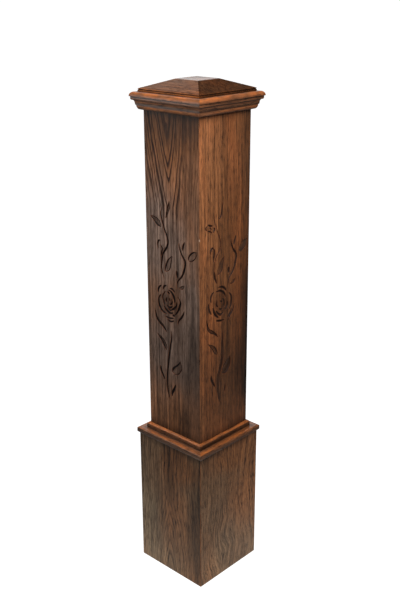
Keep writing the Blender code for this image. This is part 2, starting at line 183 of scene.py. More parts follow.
# The right board was cut by hand after the same drawing, so these strokes come out differently
RIGHT_PETALS = {
    "outer_left_top": ((124, 163), (38.8, 40.4, 38.4, 34.0), 4.4, 0.6),
    "outer_top": ((104, 50), (39.4, 37.0, 34.6, 31.0), 4.4),
    "outer_right": ((36, -36), (34.0, 37.0, 36.6, 35.6, 33.4), 4.8),
    "outer_right_under": ((338, 300), (41.0, 41.2, 42.2), 4.2, 0.55),
    "outer_left": ((164, 208), (42.6, 38.4, 33.6), 4.2, 0.6),
    "middle_top": ((120, 34), (35.2, 30.4, 26.4, 23.6, 20.6), 4.8),
    "middle_left": ((180, 258), (26.0, 24.7, 25.6, 28.2), 5.0),
    "middle_right": ((10, -52), (22.0, 23.4, 22.2, 21.2), 4.8),
    "middle_under": ((208, 300), (18.6, 19.0, 22.0, 22.2), 4.4),
    "heart_right": ((64, -50), (14.2, 12.6, 12.6, 13.8), 4.4),
    "heart_left": ((136, 204), (18.6, 14.2, 9.4), 3.8),
    "heart_under": ((230, 310), (9.0, 10.8, 13.4), 3.6),
    "heart_inner": ((116, 14), (9.4, 6.6, 6.0), 3.2),
    "under_first": ((242, 292), (35.4, 35.0, 39.4), 4.2),
}
RIGHT_STEMS = {
    **STEMS,
    "upper_stem": (STEMS["upper_stem"][0], 2.6),
    "stem_end": (((-36, 84), (-34.5, 73), (-31.5, 63), (-26.5, 52)), 5.2),
    "lower_stem": (((-6, -63), (-7, -88), (-7, -112), (-8, -135), (-13, -155), (-20, -175), (-22, -200),
        (-19, -228), (-14, -248)), 8.6, 0.50),
    "branch": (STEMS["branch"][0], 5.0),
    "thorn": (((12, 84), (12.5, 77), (13, 68)), 6.6),
    "hook": (((-47.7, 122), (-47.7, 133), (-41.3, 138), (-36.5, 133)), 4.2),
    "sprout": (((-38, 136), (-35.5, 129), (-37, 116), (-38, 104)), 5.4),
    "top_hook": (((-11.4, 238), (-10.5, 225), (-14, 206.5), (-23, 198)), 4.4, 0.6),
    "ring_left": (((-59, 180.5), (-63, 186), (-58.5, 192.5)), 3.8),
    "ring_top": (((-57, 194), (-50, 190.5), (-40.5, 187.5)), 4.2),
    "ring_right": (((-38, 185), (-35, 178.5), (-41, 172)), 4.4),
    "ring_under": (((-43, 172.5), (-49.5, 177), (-58, 179.5)), 3.4),
    "ring_heart": (((-53, 186.5), (-48, 184), (-45, 179.5)), 3.0),
    "right_wedge": (((3.5, -201), (3, -212), (1, -224)), 4.4),
}
RIGHT_LEAVES = {
    "inner_leaf": (*LEAVES["inner_leaf"][:2], 4.2),
    "oval_leaf": LEAVES["oval_leaf"],
    "small_leaf": LEAVES["small_leaf"],
    "sepal": (LEAVES["sepal"][1], LEAVES["sepal"][0], 3.2),
    "lower_left_leaf": (LEAVES["lower_left_leaf"][1], LEAVES["lower_left_leaf"][0], 3.2),
    "lower_right_leaf": (((-8, -173), (5, -178), (19, -165), (23, -150), (20, -135)), ((-7, -170),
        (-5, -161), (1, -152), (10, -143), (20, -135)), 4.5),
}

# The two hidden faces carry only the flower and its three stems
PLAIN_STEMS = ("upper_stem", "lower_stem", "branch")

# A small chip on the shaft's front corner: its height, its half sizes across and up, and how ragged
CHIP_HEIGHT = 0.874
CHIP_HALF = (1.1 * MM, 1.1 * MM, 2.2 * MM)
CHIP_RAGGED = 0.35
CHIP_NOISE = 1.7

# How far the cutters stand off the face at their ends and backs, each a little more than the last
END_STAND_OFF = 0.15 * MM
BACK_STAND_OFF = 0.30
STAND_OFF_STEP = 0.01

# How much a groove's width wanders by hand, and how fast along the drawn millimetres
HAND_SHARE = 0.10
HAND_SCALE = 0.11

# Corners of a carved mesh nearer to each other than this are made one
MERGE_LENGTH = 0.001 * MM
LEAST_CARVED_FACES = 1000

# Edges sharper than these angles, in degrees, stay sharp
BOARD_SHARP = 32
STRIP_SHARP = 30
CAP_SHARP = 25

# The bevel under the foot boards, and how many stations each moulding is swept along
FOOT_EASE = 0.7 * MM
STRIP_STATIONS = 24

# Where each group of pieces starts in the order that moves the grain on from piece to piece
FIRST_SHAFT_BOARD = 1
FIRST_FOOT_BOARD = 5
FIRST_STRIP = 10
CAP_ORDER = 30


# Property groups

def length(description, millimetres):
    """A size that is kept in metres and that the sidebar shows as a length."""
    return bpy.props.FloatProperty(description=description, default=millimetres * MM, min=0.0,
                                   unit="LENGTH", subtype="DISTANCE", precision=5)


def colour(description, default):
    """A colour in linear red, green and blue."""
    return bpy.props.FloatVectorProperty(description=description, default=default,
                                         min=0.0, max=1.0, size=3, subtype="COLOR")


def amount(description, default):
    """A plain number from nothing upwards."""
    return bpy.props.FloatProperty(description=description, default=default, min=0.0)


class NewelSizes(bpy.types.PropertyGroup):
    """Sizes of the fine work that the frame leaves open."""

    mitre_gap: length("Width of the glue line at each mitre", 0.06)
    board_round: length("Radius of the boards' eased corners", 0.9)
    groove_lip: length("How far the carved grooves' lips are softened", 0.30)
    shelf_round: length("Radius of the shelf's outer edges", 3.5)
    bead_round: length("Radius of the bead's upper edge", 5.8)
    bed_toe: length("Width of the flat under the bed moulding's round", 4.5)
    bed_round_height: length("Height of the bed moulding's round", 10.5)
    bed_fillet: length("Width of the fillet over the bed moulding's round", 1.6)
    bed_hollow: length("Reach of the bed moulding's hollow", 3.4)
    collar_step: length("Depth of the step under the collar's nose", 2.3)
    collar_step_height: length("Height of the collar's step", 7.5)
    collar_nose: length("Radius of the collar's nose", 9.0)
    collar_foot: length("Radius of the collar's lower edge", 3.0)
    cap_edge: length("Height of the cap's upright edge", 6.2)
    cap_top: length("Width of the cap's flat top", 67.4)
    cap_groove: length("Depth of the groove in the cap's edge", 1.2)
    cap_groove_height: length("Height of the groove in the cap's edge", 2.0)
    cap_arris: length("Height of the strip above the cap's groove", 0.8)
    cap_round: length("Radius of the cap's eased corners", 1.0)


class NewelColours(bpy.types.PropertyGroup):
    """Colours of the stain, from the open pores to the rubbed edges; several also carry painted sheen,
    painted highlights and painted shade.
    """

    light: colour("Stain on the hard, smooth part of each ring", (0.215, 0.090, 0.036))
    dark: colour("Stain soaked into the open part of each ring", (0.034, 0.015, 0.009))
    pore: colour("Stain caught in the open pores", (0.008, 0.005, 0.004))
    red: colour("Warm cast where the stain is thin", (0.300, 0.092, 0.028))
    # Partly the finish and partly a painted sheen
    grey: colour("Cool cast where the finish is thick", (0.165, 0.108, 0.082))
    # Partly the finish and partly a painted sheen on the foot
    olive: colour("Cast of the finish on the foot", (0.160, 0.108, 0.064))
    # Partly stain and partly painted shade in the hollows of the carving
    scoop: colour("Stain on the floor of the carved leaves", (0.070, 0.036, 0.022))
    # Partly pooled stain and partly painted shade, deep in the cuts and in the mouldings' creases
    groove: colour("Stain pooled in the carved grooves", (0.006, 0.004, 0.0035))
    # Partly cut wood and partly a painted highlight on the steep walls of the cuts
    rim: colour("Freshly cut wood at the grooves' lips", (0.250, 0.070, 0.023))
    # Wear along the edges, and on the mouldings also a painted highlight on the lit rounds
    worn: colour("Stain rubbed thin along the edges", (0.600, 0.176, 0.043))
    raw: colour("Bare wood in a chip", (0.720, 0.560, 0.400))


class NewelStage(bpy.types.PropertyGroup):
    """The floor, the lights and the camera."""

    floor: colour("Colour of the plain floor", (0.45, 0.45, 0.45))
    floor_white: amount("How white the floor shows in the picture", 0.96)
    floor_glow: amount("Light that comes up from the floor round the foot", 0.85)
    glow_tint: colour("Tint of the light from the floor", (1.0, 0.95, 0.84))
    glow_reach: length("How far the light from the floor spreads", 600.0)
    sky: amount("Strength of the soft light from all round", 0.14)
    behind: amount("Strength of the white background as the wood reflects it", 1.6)
    key: amount("Power of the lamp above on the right, in watts", 10.5)
    top: amount("Power of the large lamp overhead, in watts", 9.0)
    side: amount("Power of the lamp on the left, in watts", 4.0)
    back: amount("Power of the large lamp high behind on the left, in watts", 3.0)
    lens: amount("Focal length of the camera in millimetres", 53.1)


# Node trees

class Wire:
    """An output socket, with the sums and products that build Math nodes."""

    def __init__(self, net, socket):
        self.net = net
        self.socket = socket

    def __add__(self, other):
        return self.net.math("ADD", self, other)

    __radd__ = __add__

    def __sub__(self, other):
        return self.net.math("SUBTRACT", self, other)

    def __rsub__(self, other):
        return self.net.math("SUBTRACT", other, self)

    def __mul__(self, other):
        return self.net.math("MULTIPLY", self, other)

    __rmul__ = __mul__

    def __truediv__(self, other):
        return self.net.math("DIVIDE", self, other)

    def __pow__(self, other):
        return self.net.math("POWER", self, other)

    def __abs__(self):
        return self.net.math("ABSOLUTE", self)


class Net:
    """A node tree being built, for a material or for geometry."""

    def __init__(self, tree):
        self.tree = tree

    def node(self, kind, settings=None, inputs=None, output=0):
        """Add a node: its settings first, then the values or links of its sockets."""
        node = self.tree.nodes.new(kind)
        for key, value in (settings or {}).items():
            setattr(node, key, value)
        self.feed(node, inputs or {})
        return Wire(self, node.outputs[output])

    def feed(self, node, inputs):
        """Give sockets of a node their values or links."""
        for key, value in inputs.items():
            if isinstance(value, Wire):
                self.tree.links.new(value.socket, node.inputs[key])
            else:
                node.inputs[key].default_value = value

    def math(self, operation, *values):
        """A Math node."""
        return self.node("ShaderNodeMath", {"operation": operation}, dict(enumerate(values)))

    def vector(self, operation, *values):
        """A Vector Math node. A length or a dot product comes out as a plain value."""
        output = 1 if operation in ("LENGTH", "DOT_PRODUCT") else 0
        return self.node("ShaderNodeVectorMath", {"operation": operation}, dict(enumerate(values)), output)

    def join(self, x, y, z):
        """A vector of three values."""
        return self.node("ShaderNodeCombineXYZ", None, {0: x, 1: y, 2: z})

    def split(self, vector):
        """The three values of a vector."""
        first = self.node("ShaderNodeSeparateXYZ", None, {0: vector})
        outputs = first.socket.node.outputs
        return first, Wire(self, outputs[1]), Wire(self, outputs[2])

    def step(self, value, low, high):
        """A smooth step from 0 at low to 1 at high."""
        settings = {"interpolation_type": "SMOOTHSTEP"}
        return self.node("ShaderNodeMapRange", settings, {"Value": value, 1: low, 2: high})

    def blend(self, factor, first, second):
        """A mix of two colours."""
        first, second = [part if isinstance(part, Wire) else (*part, 1.0) for part in (first, second)]
        settings = {"data_type": "RGBA", "clamp_factor": True}
        return self.node("ShaderNodeMix", settings, {0: factor, 6: first, 7: second}, 2)

    def noise(self, vector, scale, detail=2.0, roughness=0.5, output=0):
        """A Noise Texture on a vector that is first stretched by three scales."""
        place = self.vector("MULTIPLY", vector, scale)
        inputs = {"Vector": place, "Scale": 1.0, "Detail": detail, "Roughness": roughness}
        return self.node("ShaderNodeTexNoise", None, inputs, output)


# Stained oak

# Noise in the wood: its scales across, into and along the board, its detail and its roughness
WOOD_NOISE = {
    "wave": ((9.0, 9.0, 8.0), 1.0, 0.5),
    "sway": ((7.0, 7.0, 1.6), 2.0, 0.5),
    "ragged": ((90.0, 90.0, 12.0), 3.0, 0.6),
    "uneven": ((70.0, 1.0, 1.0), 1.0, 0.5),
    "pores": ((1500.0, 1500.0, 55.0), 1.0, 0.5),
    "fibre": ((520.0, 520.0, 14.0), 3.0, 0.6),
    "streak": ((140.0, 140.0, 5.5), 3.0, 0.65),
    "cloud": ((16.0, 16.0, 4.5), 3.0, 0.55),
    "patch": ((4.5, 4.5, 2.2), 2.0, 0.5),
    "rubbed": ((75.0, 75.0, 26.0), 3.0, 0.6),
}
FLECK_SCALE = 230.0

# Soft steps: where each starts and where it is full
STEPS = {
    "ring_rise": (0.0, 0.12),
    "patch": (0.25, 1.0),
    "fleck": (0.48, 0.66),
    "pores": (0.58, 0.70),
    "red": (0.36, 0.72),
    "grey": (0.36, 0.64),
    "end_grain": (0.06, 0.14),
    "rubbed": (0.38, 0.64),
    "chip": (0.85, 1.05),
    # These four are depths under the face or places across it, in metres
    "cut": (0.05 * MM, 0.30 * MM),
    "deep": (0.30 * MM, 0.78 * MM),
    "below_carving": (5.5 * MM, 6.5 * MM),
    "beside_carving": (78.5 * MM, 79.5 * MM),
    # How squarely a wall of a groove faces out
    "steep": (0.94, 0.79),
}
RING_FALL = 0.16
EDGE_BAND = (1.3 * MM, 0.3 * MM)
GLOSS_BAND = 1 * MM
# How far the dirt and painted shade reach up from the lower height and down from the upper one, in metres
DIRT_AND_SHADE_REACH = (0.024, 0.022)
CHIP_STAIN = 1.35

# How ragged each of these borders is
PATCH_RAGGED = 0.8
DIRT_AND_SHADE_RAGGED = 0.02
STEEP_RAGGED = 0.12
DEEP_RAGGED = 0.5 * MM

# How strongly each pattern shows in the colour, the roughness and the relief
DIRT_AND_SHADE_STRENGTH = 0.45
PORE_STRENGTH = 0.85
FIBRE_SHADE = 1.5
CLOUD_SHADE = 0.8
STREAKED_HIGHLIGHT_AND_WEAR = 2.4
END_GRAIN_CALM = 0.7
END_GRAIN_ROUGHNESS = 0.45
PLAIN_ROUGHNESS = 0.40
PORE_ROUGHNESS = 0.25
CLOUD_ROUGHNESS = 0.22
GROOVE_ROUGHNESS = 0.2
COAT_ROUGHNESS = 0.22
OPEN_RELIEF = -0.30
FIBRE_RELIEF = 0.25
FLECK_RELIEF = 0.6
BUMP_DEPTH = 0.18 * MM
BUMP_STRENGTH = 0.8


def grain_space(net, turn, run):
    """The place in the board: across the grain, into the board, and along the grain.

    The pattern is first turned back to the front side of the post. Boards run upwards, and
    mouldings across.
    """
    place = net.node("ShaderNodeTexCoord", None, None, 3)
    mapping = net.node("ShaderNodeMapping", {"vector_type": "POINT"},
                       {"Vector": place, "Rotation": (0.0, 0.0, -math.radians(turn))})
    across, depth, up = net.split(mapping)
    if run == "up":
        return mapping, across, depth, up
    return net.join(up, depth, across), up, depth, across


def waved(net, place, grain):
    """The place in the board after the grain's slow waves to the left and right are taken out."""
    shifted = net.vector("ADD", place, grain["shift"])
    wave = (net.noise(shifted, *WOOD_NOISE["wave"]) - 0.5) * grain["wave"]
    return net.vector("ADD", place, net.join(wave, 0.0, 0.0))


def ring_lines(net, place, grain):
    """How open the wood is, from 0 in the hard late wood to 1 where a ring starts."""
    across, depth, along = net.split(place)
    shifted = net.vector("ADD", place, grain["shift"])
    sway = net.noise(shifted, *WOOD_NOISE["sway"], 1)
    sway_across, sway_depth, sway_ring = net.split(sway)
    fine = net.noise(shifted, *WOOD_NOISE["ragged"])
    bend = net.math("MAXIMUM", (along - grain["bend_from"]) * grain["bend_way"], 0.0)
    heart_across = across - grain["heart"][0] + (sway_across - 0.5) * grain["sway"] + bend * grain["lean"]
    heart_depth = depth - grain["heart"][1] + (sway_depth - 0.5) * grain["sway"]
    heart_depth = net.math("MINIMUM", heart_depth + bend * grain["bend"], -0.5 * MM)
    point = grain["point"]
    reach_across = abs(heart_across) ** point
    reach_depth = abs(heart_depth) ** point
    radius = (reach_across + reach_depth) ** (1.0 / point)
    uneven = net.noise(net.join(radius, 0.0, grain["shift"][0]), *WOOD_NOISE["uneven"]) - 0.5
    count = (radius / grain["spacing"] + uneven * 3.0 + (sway_ring - 0.5) * 1.5
             + (fine - 0.5) * grain["ragged"])
    share = net.math("FRACT", count)
    strength = net.node("ShaderNodeTexWhiteNoise", {"noise_dimensions": "1D"},
                        {"W": net.math("FLOOR", count)})
    calm_low, calm_high, calm_share = grain["calm"]
    calm = 1.0 - net.step(across, calm_low, calm_high) * calm_share
    faint_low, faint_high, faint_share = grain["faint_below"]
    calm = calm * (1.0 - (1.0 - net.step(along, faint_low, faint_high)) * faint_share)
    ring = net.step(share, *STEPS["ring_rise"]) * (1.0 - net.step(share, RING_FALL, grain["open_share"]))
    return ring * (strength * 0.5 + 0.5) * calm


def light_and_stain_patches(net, across, along, ragged, grain):
    """How much lighter or darker, and how much greyer, each large soft patch makes the board: partly stain
    that dried unevenly, partly painted light, painted sheen and painted shade.
    """
    lighter, greyer = 1.0, 0.0
    for patch_across, patch_along, half_across, half_along, gain, grey in grain["patches"]:
        away = net.join((across - patch_across) / half_across, (along - patch_along) / half_along, 0.0)
        reach = net.vector("LENGTH", away)
        inside = 1.0 - net.step(reach + (ragged - 0.5) * PATCH_RAGGED, *STEPS["patch"])
        lighter = lighter + inside * gain
        greyer = greyer + inside * grey
    return lighter, greyer


def new_material(name):
    """A material, its tree as a Net, and its shader."""
    material = bpy.data.materials.new(name)
    material.use_nodes = True
    net = Net(material.node_tree)
    return material, net, net.tree.nodes["Principled BSDF"]


def stained_oak(name, grain, colours, carved=False, moulded=False):
    """Stained oak for one board, with rings, pores, stain that varies and rubbed edges, and with painted
    light: soft patches of painted light, sheen and shade, painted shade by the mouldings and in the
    carving, and painted highlights on the mouldings' lit rounds.
    """
    material, net, shader = new_material(name)
    place, across, depth, along = grain_space(net, grain["turn"], grain["run"])
    along_grain = waved(net, place, grain)
    shifted = net.vector("ADD", along_grain, grain["shift"])
    open_wood = ring_lines(net, along_grain, grain)

    dash = (FLECK_SCALE, FLECK_SCALE, 1.0 / grain["fleck_length"])
    fleck = net.step(net.noise(shifted, dash, 2.0, 0.6), *STEPS["fleck"])
    fleck = fleck * (open_wood * 0.5 + 0.5) * grain["fleck"]
    open_wood = open_wood * (fleck * 0.3 + 0.8)
    pores = net.noise(shifted, *WOOD_NOISE["pores"]) + fleck * 0.12 + open_wood * 0.06
    pores = net.step(pores, *STEPS["pores"])
    fibre = net.noise(shifted, *WOOD_NOISE["fibre"]) - 0.5
    streak = net.noise(shifted, *WOOD_NOISE["streak"]) - 0.5
    cloud = net.noise(shifted, *WOOD_NOISE["cloud"])
    patch = net.noise(shifted, *WOOD_NOISE["patch"])

    redder = (net.step(cloud, *STEPS["red"]) * 0.6 + 0.2) * grain["red"]
    tone = net.blend(redder, colours.light, colours.red)
    # Large soft patches, partly stain that dried unevenly and partly painted light, painted sheen and
    # painted shade
    lighter, greyer = light_and_stain_patches(net, across, along, cloud, grain)
    # The cool cast is partly the finish and partly a painted sheen
    grey = colours.grey if carved or moulded else colours.olive
    tone = net.blend(net.step(patch, *STEPS["grey"]) * grain["grey"] + greyer, tone, grey)
    contrast, side_grain, rough = grain["contrast"], 1.0, PLAIN_ROUGHNESS
    if grain["end_grain"]:
        side_on, _, _ = net.split(net.node("ShaderNodeNewGeometry", None, None, 1))
        end_grain = net.step(abs(side_on), *STEPS["end_grain"])
        lighter = lighter * (1.0 - end_grain * grain["end_grain"])
        side_grain = 1.0 - end_grain * END_GRAIN_CALM
        contrast = side_grain * contrast
        rough = rough + end_grain * END_GRAIN_ROUGHNESS
    tone = net.blend(open_wood * contrast, tone, colours.dark)
    shade = 1.0 + fibre * FIBRE_SHADE + streak * grain["streak"] + (cloud - 0.5) * CLOUD_SHADE
    shade = shade * grain["value"]
    # Painted shade: each board darker or lighter towards one side, as the light falls across it
    shade = shade * (lighter + across * (grain["painted_shade_across"] / shaft_half))
    # Dirt with painted shade: darker in a band just above the lower height and just under the upper one,
    # next to the mouldings that shade the board
    if not moulded:
        low, high = grain["grime"]
        ragged = along + (cloud - 0.5) * DIRT_AND_SHADE_RAGGED
        foot = 1.0 - net.step(ragged, low, low + DIRT_AND_SHADE_REACH[0])
        head = net.step(ragged, high - DIRT_AND_SHADE_REACH[1], high)
        shade = shade * (1.0 - (foot + head) * DIRT_AND_SHADE_STRENGTH)
    tone = net.vector("MULTIPLY", tone, net.join(shade, shade, shade))
    tone = net.blend(fleck, tone, colours.dark)
    tone = net.blend(pores * PORE_STRENGTH, tone, colours.pore)

    rubbed = net.step(net.noise(shifted, *WOOD_NOISE["rubbed"]), *STEPS["rubbed"])
    # On the mouldings the edge values lay wear with a painted highlight on the lit rounds, and dirt with
    # painted shade in the creases and on faces turned from the light
    if moulded:
        edge = net.node("ShaderNodeAttribute", {"attribute_name": "edge"}, None, 2)
        worn = net.math("MAXIMUM", edge, 0.0) * (rubbed * 0.65 + 0.3) * grain["wear"] * side_grain
        worn = worn * (streak * STREAKED_HIGHLIGHT_AND_WEAR + 1.0)
        dirt_and_crease_shade = net.math("MAXIMUM", edge * -1.0, 0.0) * (0.95 - rubbed * 0.2)
        tone = net.blend(worn * (1.0 - fleck * 0.8), tone, colours.worn)
        tone = net.blend(dirt_and_crease_shade, tone, colours.groove)
    else:
        edge = net.step(abs(across), *[grain["edge"] - inward for inward in EDGE_BAND])
        tone = net.blend(edge * rubbed * grain["wear"], tone, colours.worn)
    rough = rough + pores * PORE_ROUGHNESS + (cloud - 0.5) * CLOUD_ROUGHNESS
    relief = open_wood * OPEN_RELIEF + fibre * FIBRE_RELIEF - pores - fleck * FLECK_RELIEF

    # In the carving: the floors of the cuts darken with stain and painted shade, the steep walls take the
    # rim colour as cut wood with a painted highlight, and their deep parts go near black with pooled stain
    # and painted shade
    if carved:
        sunk = depth + shaft_half
        inside = 1.0 - net.step(sunk, *STEPS["below_carving"])
        inside = inside * (1.0 - net.step(abs(across), *STEPS["beside_carving"]))
        outward = look_from(math.radians(grain["turn"]), 0.0)
        normal = net.node("ShaderNodeNewGeometry", None, None, 1)
        facing = net.vector("DOT_PRODUCT", normal, tuple(outward))
        cut = net.step(sunk, *STEPS["cut"]) * inside
        steep = net.step(facing + (rubbed - 0.5) * STEEP_RAGGED, *STEPS["steep"]) * cut
        deep = net.step(sunk + (cloud - 0.5) * DEEP_RAGGED, *STEPS["deep"])
        tone = net.blend(cut * (rubbed * 0.4 + 0.25) * grain["scoop"], tone, colours.scoop)
        tone = net.blend(steep * (1.0 - deep * 0.6), tone, colours.rim)
        tone = net.blend(steep * deep * grain["pooled_and_shaded"], tone, colours.groove)
        rough = rough + steep * GROOVE_ROUGHNESS
        relief = relief * (1.0 - steep * 0.7)
    if grain["chip"]:
        corner = net.vector("SUBTRACT", place, (grain["chip"] * shaft_half, -shaft_half, CHIP_HEIGHT))
        corner = net.vector("DIVIDE", corner, tuple(CHIP_STAIN * half for half in CHIP_HALF))
        reach = net.vector("LENGTH", corner)
        tone = net.blend(1.0 - net.step(reach, *STEPS["chip"]), tone, colours.raw)

    coat = grain["coat"]
    if grain["gloss"]:
        coat = net.step(across, grain["gloss_from"] - GLOSS_BAND, grain["gloss_from"]) * grain["gloss"]
    bump = {"Height": relief, "Distance": BUMP_DEPTH, "Strength": BUMP_STRENGTH}
    bump = net.node("ShaderNodeBump", None, bump)
    net.feed(shader, {"Base Color": tone, "Roughness": rough, "Normal": bump, "Coat Weight": coat,
                      "Coat Roughness": COAT_ROUGHNESS, "Specular IOR Level": grain["specular"]})
    return material


# What most boards share; each board changes some of it. The rings' heart lies across and into the
# board, and from bend_from on they bend into points. A patch is a place across and along, its
# half sizes, and how much lighter and how much greyer it is; the patches are partly stain that dried
# unevenly and partly painted light, painted sheen and painted shade.
PLAIN_GRAIN = {
    "run": "up", "heart": (0.010, -0.025), "spacing": 5.5 * MM, "sway": 0.014, "ragged": 0.5,
    "point": 1.6, "open_share": 0.60, "bend": 0.0, "bend_from": 0.0, "bend_way": 1.0, "lean": 0.0,
    "wave": 0.006, "calm": (0.0, 0.1, 0.0), "faint_below": (0.0, 0.1, 0.0), "contrast": 0.75,
    "red": 0.45, "grey": 0.30, "value": 1.0, "patches": (), "painted_shade_across": 0.0, "streak": 2.2,
    "fleck": 0.75, "fleck_length": 0.030, "end_grain": 0.0, "wear": 0.55, "grime": (0.0, 2.0),
    "edge": shaft_half, "scoop": 1.0, "pooled_and_shaded": 0.98, "chip": 0, "gloss_from": 0.0, "gloss": 0.0,
    "coat": 0.0, "specular": 0.25,
}
ROSE_SHADOW = (0.001 * ROSE_ACROSS, rose_height, 0.036, 0.044, -0.46, 0.0)
SHAFT_CHANGES = {
    "front": dict(
        heart=(-0.006, -0.0315), bend=0.155, bend_from=0.935, lean=0.05, spacing=7.4 * MM, point=1.35,
        contrast=1.75, red=0.35, grey=0.45, value=1.25, calm=(0.005, 0.045, 0.65),
        faint_below=(0.84, 0.96, 0.55), painted_shade_across=-0.10, wear=0.04, streak=2.6, chip=1, fleck=0.55,
        specular=0.14, scoop=1.25,
        patches=((-0.03, 0.87, 0.13, 0.20, 0.42, 0.8), (0.0, 0.60, 0.2, 0.16, -0.08, 0.55),
                 (0.0, 1.15, 0.2, 0.14, -0.55, -0.6), (0.07, 0.52, 0.06, 0.26, -0.38, 0.1),
                 (0.0, 0.40, 0.1, 0.08, -0.2, 0.0), (0.055, 0.72, 0.05, 0.16, -0.03, 0.9), ROSE_SHADOW)),
    "right": dict(
        heart=(0.120, -0.030), spacing=6.0 * MM, contrast=0.55, red=0.85, grey=0.05, value=1.40,
        painted_shade_across=-0.26, wear=0.04, chip=-1, fleck=0.4, streak=2.0, fleck_length=0.016, scoop=1.8,
        pooled_and_shaded=0.78,
        patches=((-0.06, 0.98, 0.07, 0.30, 0.45, 0.0), (0.09, 0.75, 0.040, 0.7, -0.30, 0.1),
                 (0.066, 0.62, 0.050, 0.40, -0.38, 0.0), (-0.02, 0.53, 0.12, 0.22, -0.32, 0.0),
                 ROSE_SHADOW)),
    "back": dict(heart=(0.012, -0.030), bend=0.06, bend_from=0.5, value=1.1),
    "left": dict(heart=(-0.080, -0.040), red=0.55, value=1.1),
}
FOOT_CHANGES = {
    "front": dict(
        heart=(-0.002, -0.052), bend=0.20, bend_from=0.20, bend_way=-1.0, contrast=0.72, red=0.05,
        grey=0.65, value=1.12, painted_shade_across=-0.10, wave=0.016, spacing=9.0 * MM, point=1.3, fleck=0.65,
        specular=0.18,
        patches=((0.10, 0.13, 0.05, 0.27, -0.45, 0.0), (0.0, 0.26, 0.016, 0.10, -0.4, 0.0),
                 (-0.08, 0.12, 0.07, 0.20, 0.04, 0.4), (0.04, 0.31, 0.09, 0.07, 0.0, -0.6),
                 (-0.03, 0.0, 0.10, 0.10, 0.2, 0.2))),
    "right": dict(
        heart=(0.050, -0.040), contrast=0.45, red=0.12, grey=0.55, value=1.39, painted_shade_across=0.08,
        wave=0.050, fleck=0.70, fleck_length=0.020, ragged=1.6, spacing=8.0 * MM, specular=0.18,
        patches=((0.07, 0.22, 0.07, 0.22, 0.25, 0.0), (-0.06, 0.15, 0.05, 0.1, -0.15, 0.1),
                 (0.0, 0.04, 0.13, 0.14, 0.05, 0.5), (0.0, 0.33, 0.13, 0.07, 0.05, -0.5))),
    "back": dict(heart=(0.020, -0.050), bend=0.04, wave=0.02),
    "left": dict(heart=(-0.015, -0.054), wave=0.02),
}


def grain_of(side, order, **changes):
    """The grain of one board: the plain one, turned to its side, moved on and changed."""
    shift = (0.37 * order, 0.53 * order, 0.71 * order)
    return {**PLAIN_GRAIN, "turn": SIDES[side], "shift": shift, **changes}


def board_grains(changes, first, grime):
    """The grain of each side's board, darker with dirt and painted shade just above the lower and just
    under the upper of the two heights given.
    """
    return {side: grain_of(side, first + at, grime=grime, **changes[side]) for at, side in enumerate(SIDES)}


SHAFT_GRAIN = board_grains(SHAFT_CHANGES, FIRST_SHAFT_BOARD, (clear_bottom, bed_low[2]))
FOOT_GRAIN = board_grains(FOOT_CHANGES, FIRST_FOOT_BOARD, (-1.0, foot_high[2]))


# Mesh helpers

def sizes():
    """The sizes that the sidebar holds."""
    return bpy.context.scene.newel_sizes


def colours():
    """The colours that the sidebar holds."""
    return bpy.context.scene.newel_colours


def mesh_of(item):
    """The evaluated mesh of an object, free of the object itself."""
    graph = bpy.context.evaluated_depsgraph_get()
    return bpy.data.meshes.new_from_object(item.evaluated_get(graph))


def remove(item):
    """Take a helper object away."""
    bpy.data.objects.remove(item, do_unlink=True)


def new_object(name, data):
    """An object of this mesh, camera or lamp, linked to the scene."""
    item = bpy.data.objects.new(name, data)
    bpy.context.scene.collection.objects.link(item)
    return item


def mesh_from(name, shell):
    """A mesh made from a finished bmesh."""
    mesh = bpy.data.meshes.new(name)
    shell.to_mesh(mesh)
    shell.free()
    return mesh


def smooth(mesh, angle):
    """Smooth shading with edges sharper than the angle, in degrees, kept."""
    mesh.polygons.foreach_set("use_smooth", [True] * len(mesh.polygons))
    mesh.set_sharp_from_angle(angle=math.radians(angle))


def sharpen_rims(mesh, level):
    """Keep the edges sharp where the flat front face meets a cut."""
    flat = set()
    for face in mesh.polygons:
        if face.normal.y < -0.9999 and abs(face.center.y - level) < 0.002 * MM:
            flat.update(face.edge_keys)
    for edge in mesh.edges:
        if edge.key in flat:
            edge.use_edge_sharp = True


def keep(name, mesh, node, material):
    """Make a mesh the finished piece that stands for a CAD node."""
    mesh.materials.clear()
    mesh.materials.append(material)
    piece = new_object(name, mesh)
    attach(piece, "root")
    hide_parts(node)
    return piece


def arc(centre, radii, start, end, steps):
    """Points on an elliptical arc, both ends included; angles in degrees from straight out."""
    points = []
    for step in range(steps + 1):
        angle = math.radians(start + (end - start) * step / steps)
        points.append((centre[0] + radii[0] * math.cos(angle), centre[1] + radii[1] * math.sin(angle)))
    return points


# Boards

